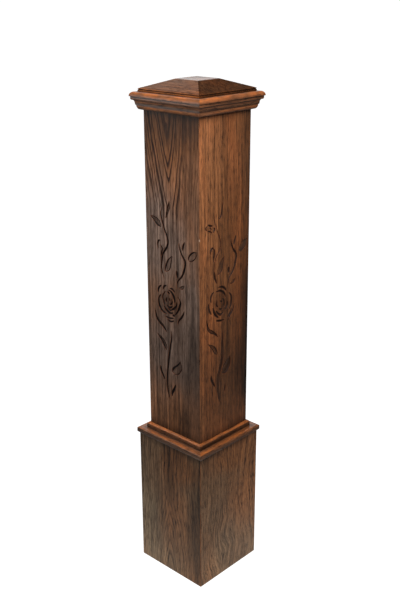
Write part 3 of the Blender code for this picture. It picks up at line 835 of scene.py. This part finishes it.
def board_mesh(name, low, high, rounding, ease_bottom=0.0):
    """A mitred board on the front side, its outer corners rounded."""
    outer, inner = -low[1], -high[1]
    back_off = sizes().mitre_gap / math.sqrt(2)
    curve = arc((outer - rounding, rounding - outer), (rounding, rounding), -90, -45, 4)
    right = [*curve, (inner, -inner)]
    right = [(across - back_off * min(1.0, at / 4), y) for at, (across, y) in enumerate(right)]
    plan = [*right, *[(-across, y) for across, y in reversed(right)]]
    levels = [(low[2], ease_bottom), (low[2] + ease_bottom, 0.0), (high[2], 0.0)]
    if not ease_bottom:
        levels = levels[1:]
    shell = bmesh.new()
    rings = []
    for height, inward in levels:
        ring = []
        for across, y in plan:
            eased = inward if y < -inner - 0.5 * (outer - inner) else 0.0
            ring.append(shell.verts.new((across * (1 - eased / outer), y + eased, height)))
        rings.append(ring)
    shell.faces.new(rings[0])
    shell.faces.new(rings[-1])
    for lower, upper in zip(rings, rings[1:]):
        for at in range(len(plan)):
            shell.faces.new((lower[at - 1], lower[at], upper[at], upper[at - 1]))
    bmesh.ops.recalc_face_normals(shell, faces=shell.faces)
    return mesh_from(name, shell)


def smooth_path(points, per_span):
    """Stations along a smooth curve that runs through the points."""
    nodes = [Vector(point) for point in points]
    nodes = [2 * nodes[0] - nodes[1], *nodes, 2 * nodes[-1] - nodes[-2]]
    path = []
    for first, start, end, last in zip(nodes, nodes[1:], nodes[2:], nodes[3:]):
        for step in range(per_span):
            t = step / per_span
            path.append(0.5 * (2 * start + (end - first) * t
                               + (2 * first - 5 * start + 4 * end - last) * t ** 2
                               + (3 * start - first - 3 * end + last) * t ** 3))
    path.append(nodes[-2])
    return path


def petal_path(angles, radii):
    """Points of a petal's groove about the middle of the rose."""
    points = []
    for step, radius in enumerate(radii):
        angle = math.radians(angles[0] + (angles[1] - angles[0]) * step / (len(radii) - 1))
        points.append((ROSE_ACROSS + radius * math.cos(angle), ROSE_STRETCH * radius * math.sin(angle)))
    return points


def swell(share):
    """How full a cut is at this share of its length: nothing at its ends, full in the middle."""
    return math.sin(math.pi * share) ** 0.5


def groove_sections(points, width, slope=GROOVE_SLOPE):
    """Sections of a V groove, wide as `width` in its middle, pointed at its ends, cut by hand."""
    path = smooth_path(points, STATIONS_PER_SPAN)
    width = width * GROOVE_SPREAD
    sections = []
    for index in range(1, len(path) - 1):
        along = (path[index + 1] - path[index - 1]).normalized()
        place = (path[index].x * HAND_SCALE, path[index].y * HAND_SCALE, width)
        hand = 1.0 + HAND_SHARE * noise.noise(place)
        full = swell(index / (len(path) - 1)) * hand
        side = Vector((-along.y, along.x)) * width / 2 * full
        depth = slope / GROOVE_SPREAD * width * full
        sections.append((path[index] - side, path[index] + side, depth, 0.5))
    return path[0], sections, path[-1]


def leaf_outline(shallow_points):
    """The fine groove that ends a leaf's scoop along its shallow edge."""
    return groove_sections(shallow_points, LEAF_OUTLINE)


def leaf_sections(steep_points, shallow_points, depth):
    """Sections of a scooped leaf, deepest beside its steep edge."""
    steep = smooth_path(steep_points, STATIONS_PER_SPAN)
    shallow = smooth_path(shallow_points, STATIONS_PER_SPAN)
    sections = []
    for index in range(1, len(steep) - 1):
        full = swell(index / (len(steep) - 1))
        sections.append((steep[index], shallow[index], depth * full, LEAF_LEAN))
    base = (steep[0] + shallow[0]) / 2
    return base, sections, steep[-1]


def on_face(point, depth):
    """A drawn point as a place on the front face, this deep under it."""
    across = (point[0] + DRAWN_SHIFT) * 2 * shaft_half / DRAWN_WIDTH
    up = rose_height + point[1] * clear_height / DRAWN_HEIGHT
    return Vector((across, depth - shaft_half, up))


def soft_depth(from_near, from_far, walls, lip):
    """Depth between two sloping walls with a softened floor and softened lips."""
    near, far = from_near * walls[0], from_far * walls[1]
    floor = -lip * math.log(math.exp(-max(near, -20 * lip) / lip) + math.exp(-max(far, -20 * lip) / lip))
    return lip * math.log(1 + math.exp(min(floor, 40 * lip) / lip))


def section_ring(near, far, depth, lean, lip):
    """Points across one section of a cut, from above the near lip to above the far lip."""
    width = (far - near).length
    walls = (depth / (lean * width), depth / ((1 - lean) * width))
    reach = (3 * lip / walls[0], 3 * lip / walls[1])
    floor = lean * width
    places = [-reach[0], -reach[0] / 3, 0.0, 0.45 * floor, 0.85 * floor, floor]
    places += [floor + share * (width - floor) for share in (0.12, 0.45, 1.0)]
    places += [width + reach[1] / 3, width + reach[1]]
    along = (far - near).normalized()
    return [(near + along * place, soft_depth(place, width - place, walls, lip)) for place in places]


def cutter(name, start, sections, end, group):
    """A closed loft that cuts a groove or a scoop, its back standing off the face."""
    lip = sizes().groove_lip / MM
    stand_off = (BACK_STAND_OFF + STAND_OFF_STEP * len(group.objects)) * MM
    fullest = max(depth for _, _, depth, _ in sections)
    shell = bmesh.new()
    first = shell.verts.new(on_face(start, -END_STAND_OFF))
    rings = []
    for near, far, depth, lean in sections:
        ring = section_ring(near, far, depth, lean, lip * depth / fullest)
        places = [on_face(point, sunk * MM) for point, sunk in ring]
        ends = [on_face(ring[at][0], -stand_off) for at in (0, -1)]
        rings.append([shell.verts.new(place) for place in (ends[0], *places, ends[1])])
    last = shell.verts.new(on_face(end, -END_STAND_OFF))
    count = len(rings[0])
    for at in range(count):
        after = (at + 1) % count
        shell.faces.new((first, rings[0][at], rings[0][after]))
        for ring, following in zip(rings, rings[1:]):
            shell.faces.new((ring[at], following[at], following[after], ring[after]))
        shell.faces.new((last, rings[-1][after], rings[-1][at]))
    bmesh.ops.recalc_face_normals(shell, faces=shell.faces)
    group.objects.link(bpy.data.objects.new(name, mesh_from(name, shell)))


def chip_cutter(side, group):
    """A small ragged lump that takes a chip off one corner of a board."""
    shell = bmesh.new()
    bmesh.ops.create_icosphere(shell, subdivisions=3, radius=1.0)
    for vert in shell.verts:
        vert.co *= 1.0 + CHIP_RAGGED * noise.noise(vert.co * CHIP_NOISE)
        vert.co = Vector([part * half for part, half in zip(vert.co, CHIP_HALF)])
        vert.co += Vector((side * shaft_half, -shaft_half, CHIP_HEIGHT))
    group.objects.link(bpy.data.objects.new("chip", mesh_from("chip", shell)))


def tidy_cut(mesh):
    """Merge the needle-thin faces that the cutting leaves, so that no two triangles share all corners."""
    shell = bmesh.new()
    shell.from_mesh(mesh)
    bmesh.ops.remove_doubles(shell, verts=shell.verts, dist=MERGE_LENGTH)
    loose = [vert for vert in shell.verts if len(vert.link_edges) == 2]
    bmesh.ops.dissolve_verts(shell, verts=loose)
    bmesh.ops.triangulate(shell, faces=[face for face in shell.faces if len(face.verts) > 4])
    shell.to_mesh(mesh)
    shell.free()
    return mesh


def carve(board, petals, stems, leaves, chip):
    """Cut the rose, the stems, the leaves and the chip out of a board's mesh."""
    item = new_object("carving_blank", board)
    group = bpy.data.collections.new("gouges")
    for name, (angles, radii, width, *slope) in petals.items():
        path = petal_path(angles, radii)
        cutter("petal_" + name, *groove_sections(path, width * PETAL_SPREAD, *slope), group)
    for name, stroke in stems.items():
        cutter(name, *groove_sections(*stroke), group)
    for name, scoop in leaves.items():
        cutter(name, *leaf_sections(*scoop), group)
        cutter(name + "_edge", *leaf_outline(scoop[1]), group)
    if chip:
        chip_cutter(chip, group)
    cut = item.modifiers.new("carving", "BOOLEAN")
    cut.operation = "DIFFERENCE"
    cut.operand_type = "COLLECTION"
    cut.collection = group
    mesh = mesh_of(item)
    remove(item)
    for gouge in list(group.objects):
        remove(gouge)
    bpy.data.collections.remove(group)
    if len(mesh.polygons) < LEAST_CARVED_FACES:
        raise RuntimeError("the carving did not cut")
    return tidy_cut(mesh)


class NEWEL_OT_shaft_boards(bpy.types.Operator):
    """Make the four carved boards of the shaft."""

    bl_idname = "newel.shaft_boards"
    bl_label = "Shaft boards"

    def execute(self, context):
        plain_stems = {name: STEMS[name] for name in PLAIN_STEMS}
        work = {
            "front": (FRONT_PETALS, STEMS, LEAVES, 1),
            "right": (RIGHT_PETALS, RIGHT_STEMS, RIGHT_LEAVES, -1),
            "back": (PETALS, plain_stems, {}, 0),
            "left": (PETALS, plain_stems, {}, 0),
        }
        for side, (petals, stems, leaves, chip) in work.items():
            board = board_mesh("shaft_" + side, shaft_low, shaft_high, sizes().board_round)
            mesh = carve(board, petals, stems, leaves, chip)
            smooth(mesh, BOARD_SHARP)
            sharpen_rims(mesh, -shaft_half)
            mesh.transform(Matrix.Rotation(math.radians(SIDES[side]), 4, "Z"))
            material = stained_oak("shaft_oak_" + side, SHAFT_GRAIN[side], colours(), carved=True)
            keep("shaft_" + side, mesh, "shaft_board_" + side, material)
        return {"FINISHED"}


class NEWEL_OT_foot_boards(bpy.types.Operator):
    """Make the four plain boards of the foot."""

    bl_idname = "newel.foot_boards"
    bl_label = "Foot boards"

    def execute(self, context):
        for side, turn in SIDES.items():
            mesh = board_mesh("foot_" + side, foot_low, foot_high, sizes().board_round, FOOT_EASE)
            smooth(mesh, BOARD_SHARP)
            mesh.transform(Matrix.Rotation(math.radians(turn), 4, "Z"))
            grain = {**FOOT_GRAIN[side], "edge": -foot_low[1]}
            material = stained_oak("foot_oak_" + side, grain, colours())
            keep("foot_" + side, mesh, "base_board_" + side, material)
        return {"FINISHED"}


# Mouldings

def shelf_outline():
    """A flat strip with both outer edges rounded.

    Each point has how much wear and painted highlight it takes, down to -1 where dirt and stain have
    gathered, with painted shade in the creases and on faces turned from the light.
    """
    outer, inner, low, high = -shelf_low[1], -shelf_high[1], shelf_low[2], shelf_high[2]
    radius = sizes().shelf_round
    lower = arc((outer - radius, low + radius), (radius, radius), -90, 0, 7)
    upper = arc((outer - radius, high - radius), (radius, radius), 0, 90, 7)
    bead_out = -bead_low[1]
    return [((inner, low), -0.5), *[(point, -0.55) for point in lower],
            ((outer, low + 1.5 * radius), -0.45),
            *[(point, 1.2 * at / 7 - 0.2) for at, point in enumerate(upper)],
            ((outer - radius - 4 * MM, high), 0.55), ((bead_out + 3.5 * MM, high), 0.25),
            ((bead_out + 0.9 * MM, high), -0.7), ((inner, high), -0.8)]


def bead_outline():
    """A narrow strip with its upper outer edge rounded over."""
    outer, inner, low, high = -bead_low[1], -bead_high[1], bead_low[2], bead_high[2]
    radius = sizes().bead_round
    over = arc((outer - radius, high - radius), (radius, radius), 0, 90, 10)
    # Wear with a painted highlight, growing towards the top of the round
    worn = [(point, min(1.0, 0.35 * at - 0.4)) for at, point in enumerate(over)]
    return [((inner, low), -0.9), ((outer, low), -0.9), ((outer, low + 1.6 * MM), -0.5), *worn,
            ((inner, high), 0.1)]


def bed_outline():
    """A round below, a fillet, and a hollow that flares out to meet the collar."""
    outer, inner, low, high = -bed_low[1], -bed_high[1], bed_low[2], bed_high[2]
    top = low + sizes().bed_round_height
    toe = shaft_half + sizes().bed_toe
    reach = outer - sizes().bed_hollow - sizes().bed_fillet - toe
    lower = arc((toe, top), (reach, sizes().bed_round_height), -90, 0, 10)
    hollow = arc((outer, top), (sizes().bed_hollow, high - top), 180, 90, 8)
    # Wear with a painted highlight on the round and in the hollow; dirt with painted shade in the creases
    # between them and at both ends
    return [((inner, low), -0.9), *[(point, 0.6 - abs(at - 7) * 0.2) for at, point in enumerate(lower)],
            ((lower[-1][0] + 0.8 * MM, top), -1.0),
            *[(point, 0.5 - abs(at - 4) * 0.36) for at, point in enumerate(hollow)], ((inner, high), -0.8)]


def collar_outline():
    """Rounded foot, small step, then the nose."""
    outer, inner, low, high = -collar_low[1], -collar_high[1], collar_low[2], collar_high[2]
    step_out = outer - sizes().collar_step
    step_up = low + sizes().collar_step_height
    foot, nose = sizes().collar_foot, sizes().collar_nose
    lower = arc((step_out - foot, low + foot), (foot, foot), -90, 0, 6)
    over = arc((outer - nose, high - nose), (nose, nose), 0, 90, 14)
    ease = arc((outer - 0.5 * MM, step_up + 0.5 * MM), (0.5 * MM, 0.5 * MM), -90, 0, 3)
    # Wear with a painted highlight along the nose; dirt with painted shade at the step under it and where
    # the cap sits
    return [((inner, low), -0.8), *[(point, 0.1 * at - 0.5) for at, point in enumerate(lower)],
            ((step_out, step_up - 1.5 * MM), -0.1), ((step_out, step_up), -1.0),
            *[(point, -0.4) for point in ease],
            *[(point, 1.0 - abs(at - 8) * 0.08) for at, point in enumerate(over)],
            ((-cap_low[1] + 0.8 * MM, high), 0.2), ((-cap_low[1], high), -0.9), ((inner, high), -0.9)]


def outline_mesh(name, outline, closed):
    """An outline as a chain of edges, with each point's wear and painted highlight, which below nothing
    stands for dirt and painted shade.
    """
    corners = [(out, up, 0.0) for (out, up), _ in outline]
    edges = [(at, at + 1) for at in range(len(corners) - 1)]
    if closed:
        edges.append((len(corners) - 1, 0))
    mesh = bpy.data.meshes.new(name)
    mesh.from_pydata(corners, edges, [])
    edge = mesh.attributes.new("edge", "FLOAT", "POINT")
    edge.data.foreach_set("value", [worn for _, worn in outline])
    return mesh


def outline_tree(name, wanted):
    """A geometry tree that starts with an outline that keeps its own shape as a profile.

    Gives the Net, the group's inputs, every point's position, the outline and the profile's parts.
    """
    tree = bpy.data.node_groups.new(name, "GeometryNodeTree")
    tree.interface.new_socket("Geometry", in_out="INPUT", socket_type="NodeSocketGeometry")
    for label, kind in wanted.items():
        tree.interface.new_socket(label, in_out="INPUT", socket_type="NodeSocket" + kind)
    tree.interface.new_socket("Geometry", in_out="OUTPUT", socket_type="NodeSocketGeometry")
    net = Net(tree)
    group = tree.nodes.new("NodeGroupInput")
    given = {socket.name: Wire(net, socket) for socket in group.outputs if socket.name}
    here = net.node("GeometryNodeInputPosition")
    outline = net.node("GeometryNodeMeshToCurve", None, {0: given["Geometry"]})
    outline, profile = captured(net, outline, here)
    return net, given, here, outline, net.split(profile)


def captured(net, geometry, vector):
    """Geometry that remembers a vector at each of its points, and that vector."""
    node = net.tree.nodes.new("GeometryNodeCaptureAttribute")
    node.capture_items.new("VECTOR", "place")
    net.feed(node, {0: geometry, 1: vector})
    return Wire(net, node.outputs[0]), Wire(net, node.outputs[1])


def close_tree(net, geometry, material):
    """End a geometry tree in real faces with a material."""
    real = net.node("GeometryNodeRealizeInstances", None, {0: geometry})
    done = net.node("GeometryNodeSetMaterial", None, {"Geometry": real, "Material": material})
    net.feed(net.tree.nodes.new("NodeGroupOutput"), {0: done})
    return net.tree


def strip_tree():
    """Runs an outline across one side of the post and mitres both ends, then turns it to its side."""
    wanted = {"Mitre gap": "Float", "Stations": "Int", "Turn": "Float", "Material": "Material"}
    net, given, here, outline, (out, up, _) = outline_tree("mitred_moulding", wanted)
    run = net.node("GeometryNodeCurvePrimitiveLine", None, {"Start": (-1, 0, 0), "End": (1, 0, 0)})
    run = net.node("GeometryNodeResampleCurve", None, {"Curve": run, "Count": given["Stations"]})
    run, station = captured(net, run, here)
    swept = net.node("GeometryNodeCurveToMesh", None,
                     {"Curve": run, "Profile Curve": outline, "Fill Caps": True})
    share, _, _ = net.split(station)
    across = share * (out - given["Mitre gap"] / math.sqrt(2))
    place = net.join(across, out * -1.0, up)
    place = net.node("ShaderNodeVectorRotate", {"rotation_type": "Z_AXIS"},
                     {"Vector": place, "Angle": given["Turn"]})
    moved = net.node("GeometryNodeSetPosition", None, {"Geometry": swept, "Position": place})
    return close_tree(net, moved, given["Material"])


def cap_tree():
    """Runs a profile round a square with eased corners, and closes it at the top and bottom."""
    wanted = {"Corner": "Float", "Corner steps": "Int", "Half width": "Float", "Material": "Material"}
    net, given, here, outline, (out, up, _) = outline_tree("square_cap", wanted)
    square = net.node("GeometryNodeCurvePrimitiveQuadrilateral", None, {"Width": 2.0, "Height": 2.0})
    square = net.node("GeometryNodeFilletCurve", {"mode": "POLY"},
                      {"Curve": square, "Count": given["Corner steps"],
                       "Radius": given["Corner"] / given["Half width"]})
    square, unit = captured(net, square, here)
    swept = net.node("GeometryNodeCurveToMesh", None, {"Curve": square, "Profile Curve": outline})
    unit_x, unit_y, _ = net.split(unit)
    place = net.join(unit_x * out, unit_y * out, up)
    moved = net.node("GeometryNodeSetPosition", None, {"Geometry": swept, "Position": place})
    merged = net.node("GeometryNodeMergeByDistance", None, {"Geometry": moved, "Distance": 0.001 * MM})
    return close_tree(net, merged, given["Material"])


def grown(name, mesh, tree, values):
    """The plain mesh that a geometry tree makes of a starting mesh."""
    item = new_object(name, mesh)
    modifier = item.modifiers.new(name, "NODES")
    modifier.node_group = tree
    for socket in tree.interface.items_tree:
        if socket.in_out == "INPUT" and socket.name in values:
            modifier[socket.identifier] = values[socket.name]
    made = mesh_of(item)
    item.modifiers.remove(modifier)
    remove(item)
    shell = bmesh.new()
    shell.from_mesh(made)
    bmesh.ops.recalc_face_normals(shell, faces=shell.faces)
    shell.to_mesh(made)
    shell.free()
    if not made.polygons:
        raise RuntimeError(name + " came out empty")
    made.name = name
    return made


class NEWEL_OT_mouldings(bpy.types.Operator):
    """Make the shelf, the bead, the bed moulding and the collar round the post."""

    bl_idname = "newel.mouldings"
    bl_label = "Mouldings"

    def execute(self, context):
        tree = strip_tree()
        kinds = {
            "shelf": (shelf_outline(), "shelf_moulding_", dict(value=1.05, wear=0.95)),
            "bead": (bead_outline(), "bead_moulding_", dict(value=1.16, wear=1.1)),
            "bed": (bed_outline(), "bed_moulding_", dict(value=1.25, wear=1.1, red=0.55)),
            "collar_strip": (collar_outline(), "collar_", dict(value=1.02, wear=1.08, contrast=1.0)),
        }
        order = FIRST_STRIP
        for kind, (outline, node, changes) in kinds.items():
            for side, turn in SIDES.items():
                grain = grain_of(side, order, run="across", heart=(outline[0][0][1] - 0.03, -0.06),
                                 spacing=3.2 * MM, sway=0.006, fleck_length=0.018, coat=0.26, **changes)
                material = stained_oak(kind + "_oak_" + side, grain, colours(), moulded=True)
                values = {"Mitre gap": sizes().mitre_gap, "Stations": STRIP_STATIONS,
                          "Turn": math.radians(turn), "Material": material}
                start = outline_mesh(kind + "_outline", outline, closed=True)
                mesh = grown(kind + "_" + side, start, tree, values)
                smooth(mesh, STRIP_SHARP)
                keep(kind + "_" + side, mesh, node + side, material)
                order += 1
        return {"FINISHED"}


def cap_outline():
    """From the middle of the top over the slope and the grooved edge to the middle of the bottom."""
    half, bottom, top = cap_high[0], cap_low[2], cap_high[2]
    flat = sizes().cap_top / 2
    edge_top = bottom + sizes().cap_edge
    groove_top = edge_top - sizes().cap_arris
    groove_low = groove_top - sizes().cap_groove_height
    groove_in = half - sizes().cap_groove
    # Wear with a painted highlight along the cap's edges; dirt with painted shade in the groove and under
    # the cap
    return [((0.0, top), 0), ((flat - 1.2 * MM, top), 0.0), ((flat - 0.3 * MM, top - 0.1 * MM), 0.5),
            ((flat + 0.6 * MM, top - 0.5 * MM), 0.4), ((flat + 3 * MM, top - 1.35 * MM), 0.0),
            ((half - 4 * MM, edge_top + 1.45 * MM), 0.0), ((half - 0.4 * MM, edge_top + 0.05 * MM), 0.6),
            ((half, edge_top - 0.3 * MM), 0.5), ((half, groove_top), 0.2), ((groove_in, groove_top), -1),
            ((groove_in, groove_low), -1), ((half, groove_low), 0.35), ((half, bottom + 1 * MM), 0.1),
            ((half, bottom), -0.8), ((0.0, bottom), 0)]


class NEWEL_OT_cap(bpy.types.Operator):
    """Make the low pyramid cap."""

    bl_idname = "newel.cap"
    bl_label = "Cap"

    def execute(self, context):
        grain = grain_of("front", CAP_ORDER, run="across", heart=(0.98, 0.03), spacing=5 * MM, value=1.0,
                         red=0.9, grey=0.0, wear=0.6, contrast=0.55, end_grain=0.65,
                         fleck_length=0.02, specular=0.04, gloss_from=cap_high[2], gloss=0.6)
        material = stained_oak("cap_oak", grain, colours(), moulded=True)
        values = {"Corner": sizes().cap_round, "Corner steps": 4, "Half width": cap_high[0],
                  "Material": material}
        start = outline_mesh("cap_outline", cap_outline(), closed=False)
        mesh = grown("cap", start, cap_tree(), values)
        smooth(mesh, CAP_SHARP)
        keep("cap", mesh, "cap_block", material)
        return {"FINISHED"}


# Stage

CAMERA_TURN = math.radians(43.17)
CAMERA_TILT = math.radians(20.05)
CAMERA_ROLL = math.radians(-0.16)
CAMERA_DISTANCE = 2.0656
CAMERA_ASIDE = 0.0046
CAMERA_AIM = 0.6968
LAMP_AIM = 0.70
SENSOR_WIDTH = 36.0
FLOOR_RADIUS = 12.0
WHITE_STRENGTH = 1.05
WHITE_STEP = (0.94, 0.995)
GLOW_FROM = 0.12

# Each lamp's turn about the post in degrees, height, distance, size and tint
LAMPS = {
    "key": (60, 1.75, 0.95, 0.5, (1.0, 0.97, 0.93)),
    "top": (40, 2.9, 0.5, 1.2, (1.0, 0.98, 0.95)),
    "side": (-35, 1.15, 1.1, 0.7, (0.93, 0.97, 1.0)),
    "back": (243, 2.7, 1.9, 0.9, (1.0, 1.0, 1.0)),
}


def look_from(turn, tilt):
    """The direction from the post to a viewer at this turn and tilt."""
    return Vector((math.sin(turn) * math.cos(tilt), -math.cos(turn) * math.cos(tilt), math.sin(tilt)))


def add_camera(lens):
    """The camera, where the photograph was taken from."""
    back = look_from(CAMERA_TURN, CAMERA_TILT)
    right = Vector((math.cos(CAMERA_TURN), math.sin(CAMERA_TURN), 0.0))
    up = back.cross(right)
    rolled = math.cos(CAMERA_ROLL) * right + math.sin(CAMERA_ROLL) * up
    upright = back.cross(rolled)
    place = Vector((0, 0, CAMERA_AIM)) + back * CAMERA_DISTANCE + right * CAMERA_ASIDE
    data = bpy.data.cameras.new("photo_camera")
    data.sensor_width = SENSOR_WIDTH
    data.lens = lens
    camera = new_object("photo_camera", data)
    turned = Matrix((rolled, upright, back)).transposed().to_4x4()
    camera.matrix_world = Matrix.Translation(place) @ turned
    bpy.context.scene.camera = camera


def add_lamp(name, power, turn, height, distance, size, tint):
    """A soft lamp at this turn, height and distance from the post's axis, facing its middle."""
    data = bpy.data.lights.new(name, "AREA")
    data.shape = "SQUARE"
    data.size = size
    data.energy = power
    data.color = tint
    lamp = new_object(name, data)
    place = look_from(math.radians(turn), 0.0) * distance + Vector((0, 0, height))
    away = (place - Vector((0, 0, LAMP_AIM))).normalized()
    lamp.matrix_world = Matrix.Translation(place) @ away.to_track_quat("Z", "Y").to_matrix().to_4x4()
    lamp.visible_camera = False


def add_surroundings(strength, behind):
    """A white background that the wood reflects, and a soft even light from all round."""
    world = bpy.data.worlds.new("studio")
    world.use_nodes = True
    bpy.context.scene.world = world
    net = Net(world.node_tree)
    white = net.tree.nodes["Background"]
    net.feed(white, {"Color": (1.0, 1.0, 1.0, 1.0), "Strength": WHITE_STRENGTH})
    direction = net.node("ShaderNodeTexCoord", None, None, 0)
    away = -look_from(CAMERA_TURN, -CAMERA_TILT)
    facing = net.vector("DOT_PRODUCT", direction, tuple(away))
    share = net.step(facing, *WHITE_STEP)
    soft = net.node("ShaderNodeBackground", None,
                    {"Color": (1.0, 1.0, 1.0, 1.0), "Strength": share * behind + strength})
    seen = net.node("ShaderNodeLightPath", None, None, 0)
    mixed = net.node("ShaderNodeMixShader", None, {0: seen, 1: soft, 2: Wire(net, white.outputs[0])})
    net.feed(net.tree.nodes["World Output"], {"Surface": mixed})


def floor_material(stage):
    """Plain matt floor that shows white in the picture and lights the foot from below."""
    material, net, matt = new_material("pale_floor")
    net.feed(matt, {"Base Color": (*stage.floor, 1.0), "Roughness": 0.9, "Specular IOR Level": 0.1})
    place = net.node("ShaderNodeTexCoord", None, None, 3)
    reach = net.vector("LENGTH", place)
    near = 1.0 - net.step(reach, GLOW_FROM, stage.glow_reach)
    warm = net.join(*[near * part for part in stage.glow_tint])
    glow = net.node("ShaderNodeEmission", None, {"Color": warm, "Strength": stage.floor_glow})
    white = net.node("ShaderNodeEmission", None, {"Strength": stage.floor_white})
    seen = net.node("ShaderNodeLightPath", None, None, 0)
    light = net.node("ShaderNodeMixShader", None, {0: seen, 1: glow, 2: white})
    both = net.node("ShaderNodeAddShader", None, {0: Wire(net, matt.outputs[0]), 1: light})
    net.feed(net.tree.nodes["Material Output"], {"Surface": both})
    return material


class NEWEL_OT_stage(bpy.types.Operator):
    """Lay the floor and set up the lights and the camera."""

    bl_idname = "newel.stage"
    bl_label = "Stage"

    def execute(self, context):
        stage = context.scene.newel_stage
        context.scene.view_settings.view_transform = "Standard"
        shell = bmesh.new()
        bmesh.ops.create_circle(shell, cap_ends=True, segments=96, radius=FLOOR_RADIUS)
        floor = new_object("floor", mesh_from("floor", shell))
        floor.data.materials.append(floor_material(stage))
        for name, place_and_tint in LAMPS.items():
            add_lamp(name + "_lamp", getattr(stage, name), *place_and_tint)
        add_surroundings(stage.sky, stage.behind)
        add_camera(stage.lens)
        return {"FINISHED"}


class NEWEL_PT_panel(bpy.types.Panel):
    """Lists the post's pieces, sizes and colours in the sidebar."""

    bl_idname = "NEWEL_PT_panel"
    bl_label = "Carved newel post"
    bl_space_type = "VIEW_3D"
    bl_region_type = "UI"
    bl_category = "Newel"

    def draw(self, context):
        layout = self.layout
        for operator in OPERATORS:
            layout.operator(operator.bl_idname)
        for group in GROUPS:
            box = layout.box()
            box.label(text=group)
            for key in GROUPS[group].__annotations__:
                label = key.replace("_", " ").capitalize()
                box.prop(getattr(context.scene, group), key, text=label)


OPERATORS = (NEWEL_OT_shaft_boards, NEWEL_OT_foot_boards, NEWEL_OT_mouldings, NEWEL_OT_cap, NEWEL_OT_stage)
GROUPS = {"newel_sizes": NewelSizes, "newel_colours": NewelColours, "newel_stage": NewelStage}


def register():
    """Make the panel, the operators and the properties known."""
    for kind in (*GROUPS.values(), *OPERATORS, NEWEL_PT_panel):
        bpy.utils.register_class(kind)
    for name, kind in GROUPS.items():
        setattr(bpy.types.Scene, name, bpy.props.PointerProperty(type=kind))


def unregister():
    """Take the panel, the operators and the properties away."""
    for name in GROUPS:
        delattr(bpy.types.Scene, name)
    for kind in reversed((*GROUPS.values(), *OPERATORS, NEWEL_PT_panel)):
        bpy.utils.unregister_class(kind)


def main():
    """Build every piece and the stage."""
    register()
    bpy.ops.newel.shaft_boards()
    bpy.ops.newel.foot_boards()
    bpy.ops.newel.mouldings()
    bpy.ops.newel.cap()
    bpy.ops.newel.stage()


if __name__ == "__main__":
    main()
